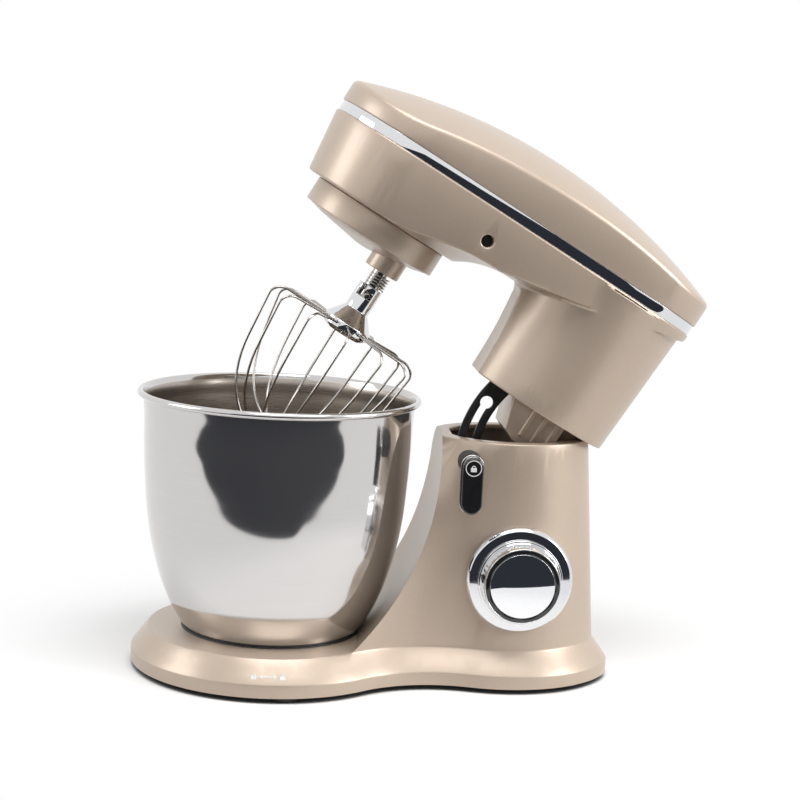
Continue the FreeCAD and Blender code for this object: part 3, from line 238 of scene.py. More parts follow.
def makeBrush(v):
    group, entry, result = newGroup(
        "brushLines",
        [("Vector", "NodeSocketVector", None), ("Stretch", "NodeSocketVector", (40.0, 40.0, 3000.0)),
         ("Light", "NodeSocketColor", (0.8, 0.8, 0.8, 1)), ("Dark", "NodeSocketColor", (0.6, 0.6, 0.6, 1)),
         ("Gloss low", "NodeSocketFloat", 0.2), ("Gloss high", "NodeSocketFloat", 0.35)],
        [("Color", "NodeSocketColor"), ("Roughness", "NodeSocketFloat"), ("Height", "NodeSocketFloat")])
    stretched = newNode(group, "ShaderNodeVectorMath", operation="MULTIPLY")
    lines = newNode(group, "ShaderNodeTexNoise")
    lines.inputs["Scale"].default_value = 1.0
    lines.inputs["Detail"].default_value = v["detail"]
    lines.inputs["Roughness"].default_value = v["roughness"]
    smudge = newNode(group, "ShaderNodeTexNoise")
    smudge.inputs["Scale"].default_value = v["smudge"]
    tone = newNode(group, "ShaderNodeMix", data_type="RGBA")
    gloss = newNode(group, "ShaderNodeMapRange")
    gloss.inputs["From Min"].default_value = v["from"]
    gloss.inputs["From Max"].default_value = v["to"]
    both = mathNode(group, "MULTIPLY_ADD", v["lineShare"])
    part = mathNode(group, "MULTIPLY", v["smudgeShare"])
    join(group, entry, "Vector", stretched, 0)
    join(group, entry, "Stretch", stretched, 1)
    join(group, stretched, 0, lines, "Vector")
    join(group, entry, "Vector", smudge, "Vector")
    join(group, smudge, "Fac", part, 0)
    join(group, lines, "Fac", both, 0)
    join(group, part, 0, both, 2)
    join(group, lines, "Fac", tone, 0)
    group.links.new(entry.outputs["Dark"], tone.inputs[6])
    group.links.new(entry.outputs["Light"], tone.inputs[7])
    join(group, both, 0, gloss, "Value")
    join(group, entry, "Gloss low", gloss, "To Min")
    join(group, entry, "Gloss high", gloss, "To Max")
    group.links.new(tone.outputs[2], result.inputs["Color"])
    join(group, gloss, 0, result, "Roughness")
    join(group, lines, "Fac", result, "Height")
    return group


def makeRound():
    group, entry, result = newGroup(
        "roundAxis", [("Vector", "NodeSocketVector", None), ("Turn", "NodeSocketFloat", 0.02)],
        [("Vector", "NodeSocketVector")])
    apart = newNode(group, "ShaderNodeSeparateXYZ")
    squareX = mathNode(group, "MULTIPLY")
    squareY = mathNode(group, "MULTIPLY")
    added = mathNode(group, "ADD")
    radius = mathNode(group, "SQRT")
    angle = mathNode(group, "ARCTAN2")
    slow = mathNode(group, "MULTIPLY")
    together = newNode(group, "ShaderNodeCombineXYZ")
    join(group, entry, "Vector", apart, 0)
    for square, axis in ((squareX, "X"), (squareY, "Y")):
        join(group, apart, axis, square, 0)
        join(group, apart, axis, square, 1)
    join(group, squareX, 0, added, 0)
    join(group, squareY, 0, added, 1)
    join(group, added, 0, radius, 0)
    join(group, apart, "Y", angle, 0)
    join(group, apart, "X", angle, 1)
    join(group, angle, 0, slow, 0)
    join(group, entry, "Turn", slow, 1)
    join(group, slow, 0, together, "X")
    join(group, radius, 0, together, "Y")
    join(group, apart, "Z", together, "Z")
    join(group, together, 0, result, "Vector")
    return group


speckle = makeSpeckle(speckleValues)
brush = makeBrush(brushValues)
roundAxis = makeRound()


def startMaterial(name, metallic, bump, bumpDepth, **plain):
    material = bpy.data.materials.new(name)
    material.use_nodes = True
    tree = material.node_tree
    shader = tree.nodes["Principled BSDF"]
    shader.inputs["Metallic"].default_value = metallic
    for label, value in plain.items():
        shader.inputs[label].default_value = value
    place = newNode(tree, "ShaderNodeTexCoord")
    relief = newNode(tree, "ShaderNodeBump")
    relief.inputs["Strength"].default_value = bump
    relief.inputs["Distance"].default_value = bumpDepth * mm
    join(tree, relief, "Normal", shader, "Normal")
    return material, tree, shader, place, relief


def connectFinish(tree, finish, shader, relief):
    join(tree, finish, "Color", shader, "Base Color")
    join(tree, finish, "Roughness", shader, "Roughness")
    join(tree, finish, "Height", relief, "Height")


def speckledFinish(name, look):
    material, tree, shader, place, relief = startMaterial(
        name, look["metallic"], look["bump"], look["bumpDepth"], **look.get("plain", {}))
    finish = placeGroup(tree, speckle, **{
        "Light": (*look["light"], 1), "Dark": (*look["dark"], 1), "Grain": look["grain"],
        "Cloud": look["cloud"], "Gloss low": look["gloss"][0], "Gloss high": look["gloss"][1]})
    join(tree, place, "Object", finish, "Vector")
    connectFinish(tree, finish, shader, relief)
    return material


def brushedFinish(name, look):
    material, tree, shader, place, relief = startMaterial(
        name, look["metallic"], look["bump"], look["bumpDepth"], **look.get("plain", {}))
    finish = placeGroup(tree, brush, **{
        "Light": (*look["light"], 1), "Dark": (*look["dark"], 1), "Stretch": look["stretch"],
        "Gloss low": look["gloss"][0], "Gloss high": look["gloss"][1]})
    source, label = place, "Object"
    if "axis" in look:                                   # lines that run round an axis
        mapping = newNode(tree, "ShaderNodeMapping", vector_type="TEXTURE")
        mapping.inputs["Location"].default_value = [value * mm for value in look["axis"]]
        turned = placeGroup(tree, roundAxis)
        join(tree, place, "Object", mapping, "Vector")
        join(tree, mapping, 0, turned, "Vector")
        source, label = turned, "Vector"
    join(tree, source, label, finish, "Vector")
    connectFinish(tree, finish, shader, relief)
    return material


# finishes, one dictionary each

paintLook = {"metallic": 0.36, "light": (0.6, 0.49, 0.395), "dark": (0.51, 0.41, 0.325), "grain": 2600.0,
             "cloud": 9.0, "gloss": (0.33, 0.39), "bump": 0.05, "bumpDepth": 0.05,
             "plain": {"Coat Weight": 0.25, "Coat Roughness": 0.16}}
chromeLook = {"metallic": 1.0, "light": (0.76, 0.765, 0.775), "dark": (0.7, 0.705, 0.72), "grain": 900.0,
              "cloud": 35.0, "gloss": (0.025, 0.06), "bump": 0.01, "bumpDepth": 0.01}
discLook = {"metallic": 1.0, "light": (0.86, 0.865, 0.88), "dark": (0.8, 0.805, 0.82), "grain": 1400.0,
            "cloud": 40.0, "gloss": (0.012, 0.03), "bump": 0.005, "bumpDepth": 0.01}
bowlLook = {"metallic": 0.94, "light": (0.66, 0.645, 0.635), "dark": (0.58, 0.57, 0.56),
            "stretch": (60.0, 2500.0, 2500.0), "gloss": (0.06, 0.12), "bump": 0.015, "bumpDepth": 0.02,
            "axis": (-104.506, 0, 0)}
# inside of the bowl: the same steel, brushed, with colours darker and browner than the outside's: painted shade
# inside the bowl
bowlInsidePaintedShadeLook = {"metallic": 1.0, "light": (0.56, 0.51, 0.46), "dark": (0.38, 0.34, 0.3),
                  "stretch": (60.0, 2200.0, 2200.0), "gloss": (0.22, 0.36), "bump": 0.06, "bumpDepth": 0.03,
                  "axis": (-104.506, 0, 0)}
wireLook = {"metallic": 1.0, "light": (0.52, 0.5, 0.48), "dark": (0.38, 0.36, 0.34), "grain": 1800.0,
            "cloud": 60.0, "gloss": (0.1, 0.2), "bump": 0.02, "bumpDepth": 0.02}
steelLook = {"metallic": 1.0, "light": (0.7, 0.7, 0.71), "dark": (0.5, 0.5, 0.51), "grain": 1200.0,
             "cloud": 45.0, "gloss": (0.22, 0.36), "bump": 0.05, "bumpDepth": 0.03}
gearSteelLook = {"metallic": 1.0, "light": (0.45, 0.44, 0.43), "dark": (0.28, 0.27, 0.26), "grain": 700.0,
                 "cloud": 60.0, "gloss": (0.28, 0.45), "bump": 0.08, "bumpDepth": 0.04}
nylonLook = {"metallic": 0.0, "light": (0.78, 0.76, 0.7), "dark": (0.68, 0.66, 0.6), "grain": 500.0,
             "cloud": 30.0, "gloss": (0.4, 0.52), "bump": 0.08, "bumpDepth": 0.05}
glossBlackLook = {"metallic": 0.0, "light": (0.016, 0.016, 0.017), "dark": (0.009, 0.009, 0.01),
                  "grain": 1600.0, "cloud": 50.0, "gloss": (0.05, 0.1), "bump": 0.01, "bumpDepth": 0.01,
                  "plain": {"Coat Weight": 0.6, "Coat Roughness": 0.04}}
markLook = {"metallic": 0.0, "light": (0.86, 0.86, 0.85), "dark": (0.78, 0.78, 0.77), "grain": 1500.0,
            "cloud": 90.0, "gloss": (0.4, 0.5), "bump": 0.04, "bumpDepth": 0.02}
matteBlackLook = {"metallic": 0.0, "light": (0.028, 0.028, 0.029), "dark": (0.017, 0.017, 0.018),
                  "grain": 1100.0, "cloud": 25.0, "gloss": (0.42, 0.55), "bump": 0.25, "bumpDepth": 0.06}
blackSteelLook = {"metallic": 0.35, "light": (0.03, 0.03, 0.032), "dark": (0.015, 0.015, 0.016),
                  "grain": 900.0, "cloud": 30.0, "gloss": (0.28, 0.4), "bump": 0.1, "bumpDepth": 0.04}
rubberLook = {"metallic": 0.0, "light": (0.03, 0.03, 0.03), "dark": (0.016, 0.016, 0.016), "grain": 800.0,
              "cloud": 20.0, "gloss": (0.65, 0.8), "bump": 0.3, "bumpDepth": 0.08}
alloyLook = {"metallic": 0.9, "light": (0.66, 0.65, 0.63), "dark": (0.5, 0.49, 0.47), "grain": 650.0,
             "cloud": 40.0, "gloss": (0.36, 0.5), "bump": 0.22, "bumpDepth": 0.08}
bronzeLook = {"metallic": 1.0, "light": (0.6, 0.4, 0.2), "dark": (0.42, 0.27, 0.13), "grain": 1500.0,
              "cloud": 60.0, "gloss": (0.32, 0.46), "bump": 0.12, "bumpDepth": 0.04}
ironLook = {"metallic": 0.9, "light": (0.3, 0.3, 0.31), "dark": (0.2, 0.2, 0.21),
            "stretch": (90.0, 90.0, 2600.0), "gloss": (0.4, 0.55), "bump": 0.3, "bumpDepth": 0.06}
canLook = {"metallic": 0.95, "light": (0.55, 0.55, 0.56), "dark": (0.42, 0.42, 0.43), "grain": 1000.0,
           "cloud": 30.0, "gloss": (0.3, 0.42), "bump": 0.06, "bumpDepth": 0.04}
copperLook = {"metallic": 1.0, "light": (0.78, 0.38, 0.2), "dark": (0.5, 0.22, 0.11),
              "stretch": (120.0, 120.0, 2400.0), "gloss": (0.22, 0.38), "bump": 0.35, "bumpDepth": 0.1}
carbonLook = {"metallic": 0.1, "light": (0.05, 0.05, 0.052), "dark": (0.025, 0.025, 0.027), "grain": 1500.0,
              "cloud": 60.0, "gloss": (0.5, 0.65), "bump": 0.2, "bumpDepth": 0.05}
boardLook = {"metallic": 0.0, "light": (0.03, 0.16, 0.06), "dark": (0.018, 0.1, 0.04), "grain": 700.0,
             "cloud": 80.0, "gloss": (0.25, 0.4), "bump": 0.1, "bumpDepth": 0.03}

finishes = {
    "champagne_paint": speckledFinish("champagnePaint", paintLook),
    "bright_chrome": speckledFinish("brightChrome", chromeLook),
    "mirror_disc": speckledFinish("mirrorDisc", discLook),
    "bowl_steel": brushedFinish("bowlSteel", bowlLook),
    "wire_steel": speckledFinish("wireSteel", wireLook),
    "bare_steel": speckledFinish("bareSteel", steelLook),
    "gear_steel": speckledFinish("gearSteel", gearSteelLook),
    "gear_nylon": speckledFinish("gearNylon", nylonLook),
    "gloss_black": speckledFinish("glossBlack", glossBlackLook),
    "badge_white": speckledFinish("badgeWhite", markLook),
    "matte_black": speckledFinish("matteBlack", matteBlackLook),
    "black_steel": speckledFinish("blackSteel", blackSteelLook),
    "foot_rubber": speckledFinish("footRubber", rubberLook),
    "cast_alloy": speckledFinish("castAlloy", alloyLook),
    "bush_bronze": speckledFinish("bushBronze", bronzeLook),
    "motor_iron": brushedFinish("motorIron", ironLook),
    "motor_can": speckledFinish("motorCan", canLook),
    "copper": brushedFinish("windingCopper", copperLook),
    "carbon": speckledFinish("brushCarbon", carbonLook),
    "board_green": speckledFinish("boardGreen", boardLook),
}
# the bowl's inside finish, whose darker colours are painted shade
bowlInsidePaintedShade = brushedFinish("bowlInsidePaintedShade", bowlInsidePaintedShadeLook)
nodeSlots = {}
for nodeName, node in frame["nodes"].items():
    nodeSlots[nodeName] = node.data.materials[0].name.split(".")[0]
    putMaterial(node, finishes[nodeSlots[nodeName]])
bodies = frame["record"]["behaviour"]["bodies"]
bodyOf = {member: body for body, members in bodies.items() for member in members}
print("finishes made:", len(finishes) + 1)


# solids copied with the soft edges of cast, moulded and turned pieces; widths are in millimetres

softValues = {"segments": 3, "sharpest": 28, "smooth": 35}


def polishedCopy(nodeName, pieceName, width, wanted=lambda middle: True):
    piece = takeCopy(nodeName, pieceName)
    count = softenEdges(piece, width, softValues["segments"], wanted, softValues["sharpest"])
    smoothShade(piece, softValues["smooth"])
    slotName = nodeSlots[nodeName]
    putMaterial(piece, finishes[slotName])
    settle(piece, bodyOf[nodeName], slotName, nodeName)
    print("piece", pieceName, "soft edges", count, "faces", len(piece.data.polygons))
    return piece


baseValues = {"crestZ": 29.5, "crestWidth": 1.0, "crestSegments": 4, "crestSharpest": 12, "dish": 85.0,
              "bandZ": 13.4, "bandWidth": 0.8, "bandSegments": 3, "bandSharpest": 12,
              "rimZ": 182.4, "rimWidth": 1.0, "rimSegments": 3, "rimSharpest": 20,
              "near": 0.2, "bowlX": -104.506, "smooth": 35}


def makeBaseShell(v):
    piece = takeCopy("base_housing", "baseShell")

    def onBand(middle):
        return abs(middle.z - v["bandZ"] * mm) < v["near"] * mm

    def onCrest(middle):
        away = math.hypot(middle.x - v["bowlX"] * mm, middle.y)
        return abs(middle.z - v["crestZ"] * mm) < v["near"] * mm and away > v["dish"] * mm

    def onRim(middle):
        return abs(middle.z - v["rimZ"] * mm) < v["near"] * mm

    softened = []
    for name, wanted in (("band", onBand), ("crest", onCrest), ("rim", onRim)):
        width, segments, sharpest = (v[name + value] for value in ("Width", "Segments", "Sharpest"))
        softened.append(softenEdges(piece, width, segments, wanted, sharpest))
    smoothShade(piece, v["smooth"])
    putMaterial(piece, finishes["champagne_paint"])
    settle(piece, "base", "champagne_paint", "base_housing")
    print("base shell: soft edges", softened, "faces", len(piece.data.polygons))
    return piece


shoulderValues = {"low": (60, -62, 276), "high": (121, 62, 302), "width": 3.0, "segments": 4,
                  "hollow": -50, "smooth": 35}


def onShoulder(middle):
    low, high = shoulderValues["low"], shoulderValues["high"]
    return all(least * mm < value < most * mm for least, value, most in zip(low, middle, high))


def softenShoulder(piece, v):
    mesh = startEdit(piece)
    mesh.normal_update()
    count = 0
    for edge in mesh.edges:                              # hollow edges where the neck meets the body
        if len(edge.link_faces) != 2 or edge.calc_face_angle_signed(0) > math.radians(v["hollow"]):
            continue
        facing = edge.link_faces[0].normal + edge.link_faces[1].normal
        if onShoulder((edge.verts[0].co + edge.verts[1].co) / 2) and facing.x < 0 and facing.z < 0:
            edge.select = True
            count += 1
    bevelSelected(piece, mesh, count, v["width"], v["segments"])
    smoothShade(piece, v["smooth"])
    print("shoulder edges", count)


baseShell = makeBaseShell(baseValues)
headCover = polishedCopy("head_upper_cover", "headCover", 1.0)
headBody = polishedCopy("head_lower_housing", "headBody", 1.2, wanted=lambda middle: not onShoulder(middle))
softenShoulder(headBody, shoulderValues)
bandStrip = polishedCopy("chrome_band", "bandStrip", 0.5)
drumShell = polishedCopy("planet_drum", "drumShell", 0.8)
drumCone = polishedCopy("drum_cover", "drumCone", 0.6)
print("painted shells done")


# bowl: one profile turned round the bowl axis, polished outside, brushed inside, with the inside's colours painted
# darker as painted shade
bowlValues = {"axisX": -104.506, "steps": 192, "curveSteps": 10, "insideBelow": 203.0, "upward": 0.7,
              "merge": 0.01, "weld": 0.005, "smooth": 40,
              "profile": ((0, 30.7, "VECTOR"), (66, 30.7, "VECTOR"), (72, 39.7, "AUTO"), (80.5, 56.7, "AUTO"),
                          (89, 82.7, "AUTO"), (94.5, 109.7, "AUTO"), (97.5, 139.7, "AUTO"), (99, 166.7, "AUTO"),
                          (99.6, 189.7, "AUTO"), (100.7, 202.2, "VECTOR"), (102.5, 202.0, "AUTO"),
                          (104.97, 204.5, "AUTO"), (102.5, 207, "AUTO"), (100.0, 204.5, "AUTO"),
                          (98.4, 189.7, "AUTO"), (97.8, 166.7, "AUTO"),
                          (96.3, 139.7, "AUTO"), (93.3, 109.7, "AUTO"), (87.8, 82.7, "AUTO"), (79.3, 56.7, "AUTO"),
                          (70.8, 39.7, "AUTO"), (63.6, 31.9, "VECTOR"), (0, 31.9, "VECTOR"))}


def makeBowl(v):
    deselectAll()
    bpy.ops.curve.primitive_bezier_curve_add(location=(0, 0, 0))
    piece = bpy.context.active_object
    piece.name = "bowlShell"
    line = piece.data.splines[0]
    line.bezier_points.add(len(v["profile"]) - 2)
    for point, (radius, height, handle) in zip(line.bezier_points, v["profile"]):
        point.co = (radius * mm, 0, height * mm)
        point.handle_left_type = handle
        point.handle_right_type = handle
    line.resolution_u = v["curveSteps"]
    piece.data.resolution_u = v["curveSteps"]
    bpy.ops.object.convert(target="MESH")
    piece.data.name = "bowlShell"
    applyModifier(piece, "SCREW", axis="Z", steps=v["steps"], render_steps=v["steps"], use_merge_vertices=True,
                  merge_threshold=v["merge"] * mm, use_smooth_shade=True)
    startEdit(piece)
    bpy.ops.mesh.select_all(action="SELECT")
    bpy.ops.mesh.remove_doubles(threshold=v["weld"] * mm)
    bpy.ops.mesh.normals_make_consistent(inside=False)
    stopEdit()
    # faces inside the bowl take the second finish, whose darker colours are painted shade
    putMaterial(piece, finishes["bowl_steel"], bowlInsidePaintedShade)
    mesh = startEdit(piece, "FACE")
    inner = 0
    for face in mesh.faces:
        middle = face.calc_center_median()
        inward = face.normal.x * middle.x + face.normal.y * middle.y < 0 or face.normal.z > v["upward"]
        if inward and middle.z < v["insideBelow"] * mm:
            face.material_index = 1
            inner += 1
    bmesh.update_edit_mesh(piece.data)
    stopEdit()
    piece.data.transform(Matrix.Translation((v["axisX"] * mm, 0, 0)))
    smoothShade(piece, v["smooth"])
    settle(piece, "bowl", "bowl_steel", "mixing_bowl")
    print("bowl: inner faces", inner, "of", len(piece.data.polygons))
    return piece


bowlShell = makeBowl(bowlValues)
bowlFootRing = polishedCopy("bowl_foot", "bowlFootRing", 0.4)
seatRing = polishedCopy("bowl_seat", "seatRing", 0.5)


# knob, lever and the small bright pieces
knobSkirt = polishedCopy("knob_bezel", "knobSkirt", 0.5)
knobBody = polishedCopy("speed_knob", "knobBody", 0.5)
knobRing = polishedCopy("knob_ring", "knobRing", 0.25)
knobDisc = polishedCopy("knob_face", "knobDisc", 0.25)
leverGrip = polishedCopy("release_lever", "leverGrip", 0.25)
leverEdge = polishedCopy("lever_trim", "leverEdge", 0.4)
badgeDisc = polishedCopy("lever_badge", "badgeDisc", 0.15)
putMaterial(badgeDisc, finishes["gloss_black"])
lockBush = polishedCopy("lever_bush", "lockBush", 0.3)
keyPlate = polishedCopy("lock_plate", "keyPlate", 0.4)
hingeArm = polishedCopy("hinge_tongue", "hingeArm", 0.6)
whiskSocket = polishedCopy("whisk_hub", "whiskSocket", 0.3)
toolSpindle = polishedCopy("output_shaft", "toolSpindle", 0.3)
drivePin = polishedCopy("cross_pin", "drivePin", 0.3)
flankScrewsPaintedShade = polishedCopy("flank_screws", "flankScrewsPaintedShade", 0.3)
# black steel on the screws is painted shade for the dark inside of their recessed holes
putMaterial(flankScrewsPaintedShade, finishes["black_steel"])
footPads = polishedCopy("rubber_feet", "footPads", 0.6)
print("small pieces done")


# printed marks: a padlock in a ring on the lever, two padlocks and an arrow on the base

def thicken(piece, depth):
    makeActive(piece)
    bpy.ops.object.mode_set(mode="EDIT")
    bpy.ops.mesh.select_all(action="SELECT")
    bpy.ops.mesh.extrude_region_move(TRANSFORM_OT_translate={"value": (0, 0, depth)})
    bpy.ops.mesh.select_all(action="SELECT")
    bpy.ops.mesh.normals_make_consistent(inside=False)
    stopEdit()


markValues = {"ringSides": 48, "cornerSegments": 3}
lockShares = {"bodyHeight": 0.75, "bodyDrop": 0.2, "corner": 0.08, "openLift": 0.1, "openSide": 0.3,
              "shackleOuter": 0.36, "shackleInner": 0.22, "shackleRise": 0.17}


def addRing(outer, inner, centre, half=False):
    deselectAll()
    bpy.ops.mesh.primitive_circle_add(vertices=markValues["ringSides"], radius=outer, fill_type="NGON",
                                      location=(0, 0, 0))
    ring = bpy.context.active_object
    bpy.ops.object.mode_set(mode="EDIT")
    bpy.ops.mesh.select_all(action="SELECT")
    bpy.ops.mesh.inset(thickness=outer - inner)
    bpy.ops.mesh.delete(type="FACE")
    if half:
        bpy.ops.mesh.select_all(action="SELECT")
        bpy.ops.mesh.bisect(plane_co=(0, 0, 0), plane_no=(0, 1, 0), clear_inner=True)
    stopEdit()
    ring.data.transform(Matrix.Translation((*centre, 0)))
    return ring


def addPlate(width, height, centre, corner, cuts=0):
    deselectAll()
    bpy.ops.mesh.primitive_plane_add(size=1, location=(0, 0, 0))
    plate = bpy.context.active_object
    plate.scale = (width, height, 1)
    bpy.ops.object.transform_apply(location=False, rotation=False, scale=True)
    bpy.ops.object.mode_set(mode="EDIT")
    bpy.ops.mesh.select_all(action="SELECT")
    if corner:
        bpy.ops.mesh.bevel(offset=corner, segments=markValues["cornerSegments"], affect="VERTICES")
    if cuts:
        bpy.ops.mesh.subdivide(number_cuts=cuts)
    stopEdit()
    plate.data.transform(Matrix.Translation((*centre, 0)))
    return plate


def addTip(size, centre, turn):
    deselectAll()
    bpy.ops.mesh.primitive_circle_add(vertices=3, radius=size, fill_type="NGON", location=(0, 0, 0))
    tip = bpy.context.active_object
    tip.data.transform(Matrix.Translation((*centre, 0)) @ Matrix.Rotation(turn, 4, "Z"))
    return tip


def padlock(size, centre, unlocked=False):
    v = {name: size * share for name, share in lockShares.items()}
    x, y = centre
    body = addPlate(size, v["bodyHeight"], (x, y - v["bodyDrop"]), v["corner"])
    lift = v["openLift"] if unlocked else 0.0
    side = v["openSide"] if unlocked else 0.0
    place = (x + side, y + v["shackleRise"] + lift)
    shackle = addRing(v["shackleOuter"], v["shackleInner"], place, half=True)
    return [body, shackle]


def joinMark(parts, name, depth):
    deselectAll()
    for part in parts:
        part.select_set(True)
    bpy.context.view_layer.objects.active = parts[0]
    bpy.ops.object.join()
    mark = bpy.context.active_object
    mark.name = name
    mark.data.name = name
    thicken(mark, depth)
    putMaterial(mark, finishes["badge_white"])
    return mark


leverMarkValues = {"place": (33.994, -71.5, 167.5), "ringOuter": 5.9, "ringInner": 5.25,
                   "lock": 4.2, "drop": 0.2, "depth": 0.12}


def makeLeverMark(v):
    parts = [addRing(v["ringOuter"] * mm, v["ringInner"] * mm, (0, 0))]
    parts += padlock(v["lock"] * mm, (0, -v["drop"] * mm))
    mark = joinMark(parts, "leverMark", v["depth"] * mm)
    place = Vector([value * mm for value in v["place"]])
    mark.data.transform(Matrix.Translation(place) @ Matrix.Rotation(math.pi / 2, 4, "X"))
    settle(mark, "lever", "badge_white")
    return mark


baseMarkValues = {"bowlX": -104.506, "angle": -91.2, "radius": 100.1, "z": 18.6, "lean": 36.7,
                  "lock": 4.0, "spread": 10.2, "arrow": 10.0, "arrowCuts": 6, "line": 0.95, "tip": 1.9,
                  "depth": 0.12, "lift": 0.03}


def makeBaseMark(v):
    parts = padlock(v["lock"] * mm, (-v["spread"] * mm, 0))
    parts += padlock(v["lock"] * mm, (v["spread"] * mm, 0), unlocked=True)
    parts.append(addPlate(v["arrow"] * mm, v["line"] * mm, (0, 0), 0, v["arrowCuts"]))
    for side in (-1, 1):
        parts.append(addTip(v["tip"] * mm, (side * v["arrow"] / 2 * mm, 0), -side * math.pi / 2))
    mark = joinMark(parts, "baseMark", v["depth"] * mm)
    lean = math.radians(v["lean"])
    for vertex in mark.data.vertices:                    # lay the flat mark round the sloping edge of the base
        along, rise, out = vertex.co
        out += v["lift"] * mm
        radius = v["radius"] * mm - rise * math.sin(lean) + out * math.cos(lean)
        angle = math.radians(v["angle"]) + along / (v["radius"] * mm)
        height = v["z"] * mm + rise * math.cos(lean) + out * math.sin(lean)
        vertex.co = (v["bowlX"] * mm + radius * math.cos(angle), radius * math.sin(angle), height)
    settle(mark, "base", "badge_white")
    return mark


leverMark = makeLeverMark(leverMarkValues)
baseMark = makeBaseMark(baseMarkValues)
print("marks done")


# whisk wires: one bent wire, copied and turned for every loop
whiskValues = {"orbit": 22.0, "start": 13.3, "top": 158.6, "shoulder": 61.0, "corner": 10.5,
               "sideBottom": 57.7, "tip": 52.3, "nest": 2.5, "loops": 6, "wire": 1.9,
               "hinge": (219.8, 0, 162.4), "open": 30.0, "shift": 104.506,
               "curveSteps": 14, "roundSteps": 3, "weld": 0.01, "smooth": 60}


def arcHandle(radius, angle):
    return 4 / 3 * math.tan(angle / 4) * radius


def wirePoints(v, loop):
    tip = v["tip"] + v["nest"] * loop
    middle = tip + v["sideBottom"]
    lean = math.atan2(v["shoulder"] - v["sideBottom"], v["top"] - v["corner"] - middle)
    cornerX = v["shoulder"] - v["corner"]
    flatEnd = Vector((cornerX, 0, v["top"]))
    head = Vector((cornerX + v["corner"] * math.cos(lean), 0,
                   v["top"] - v["corner"] + v["corner"] * math.sin(lean)))
    foot = Vector((v["sideBottom"] * math.cos(lean), 0, middle + v["sideBottom"] * math.sin(lean)))
    start = Vector((v["start"], 0, v["top"]))
    outward = Vector((1, 0, 0))
    down = (foot - head).normalized()
    third = (foot - head).length / 3
    bend = arcHandle(v["corner"], math.pi / 2 - lean)
    sweep = arcHandle(v["sideBottom"], math.pi / 2 + lean)
    flat = (flatEnd - start).length / 3
    half = [(start, start - outward * flat, start + outward * flat),
            (flatEnd, flatEnd - outward * flat, flatEnd + outward * bend),
            (head, head - down * bend, head + down * third),
            (foot, foot - down * third, foot + down * sweep)]
    bottom = Vector((0, 0, tip))
    mirrored = [tuple(Vector((-point.x, 0, point.z)) for point in (middleOne, after, before))
                for middleOne, before, after in reversed(half)]
    return half + [(bottom, bottom + outward * sweep, bottom - outward * sweep)] + mirrored


def makeWhisk(v):
    loops = []
    for loop in range(v["loops"]):
        deselectAll()
        bpy.ops.curve.primitive_bezier_curve_add(location=(0, 0, 0))
        wire = bpy.context.active_object
        curve = wire.data
        line = curve.splines[0]
        points = wirePoints(v, loop)
        line.bezier_points.add(len(points) - 2)
        for point, (place, before, after) in zip(line.bezier_points, points):
            point.handle_left_type = "FREE"
            point.handle_right_type = "FREE"
            point.co = place * mm
            point.handle_left = before * mm
            point.handle_right = after * mm
        curve.dimensions = "3D"
        curve.resolution_u = v["curveSteps"]
        curve.bevel_depth = v["wire"] / 2 * mm
        curve.bevel_resolution = v["roundSteps"]
        curve.use_fill_caps = True
        bpy.ops.object.convert(target="MESH")
        wire.data.transform(Matrix.Rotation(math.pi * loop / v["loops"], 4, "Z"))
        loops.append(wire)
    deselectAll()
    for wire in loops:
        wire.select_set(True)
    bpy.context.view_layer.objects.active = loops[0]
    bpy.ops.object.join()
    piece = bpy.context.active_object
    piece.name = "whiskCage"
    piece.data.name = "whiskCage"
    hinge = Vector(v["hinge"]) * mm
    toOrbit = Matrix.Translation((v["orbit"] * mm, 0, 0))
    tilted = Matrix.Translation(hinge) @ Matrix.Rotation(math.radians(v["open"]), 4, "Y") @ Matrix.Translation(-hinge)
    piece.data.transform(Matrix.Translation((-v["shift"] * mm, 0, 0)) @ tilted @ toOrbit)
    startEdit(piece)
    bpy.ops.mesh.select_all(action="SELECT")
    bpy.ops.mesh.remove_doubles(threshold=v["weld"] * mm)
    bpy.ops.mesh.normals_make_consistent(inside=False)
    stopEdit()
    smoothShade(piece, v["smooth"])
    putMaterial(piece, finishes["wire_steel"])
    settle(piece, bodyOf["whisk_wires"], "wire_steel", "whisk_wires")
    low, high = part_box("whisk_wires")
    lowest = min(vertex.co.z for vertex in piece.data.vertices)
    highest = max(vertex.co.z for vertex in piece.data.vertices)
    print("whisk wires: faces", len(piece.data.polygons), "past the solid",
          round((low.z - lowest) / mm, 2), round((highest - high.z) / mm, 2))
    return piece


whiskCage = makeWhisk(whiskValues)


# spring on the tool spindle: one round wire screwed round the spindle, ends capped
springValues = {"wire": 0.6, "radius": 7.4, "turns": 4, "tilt": 30, "sides": 14, "turnSteps": 40, "smooth": 50}


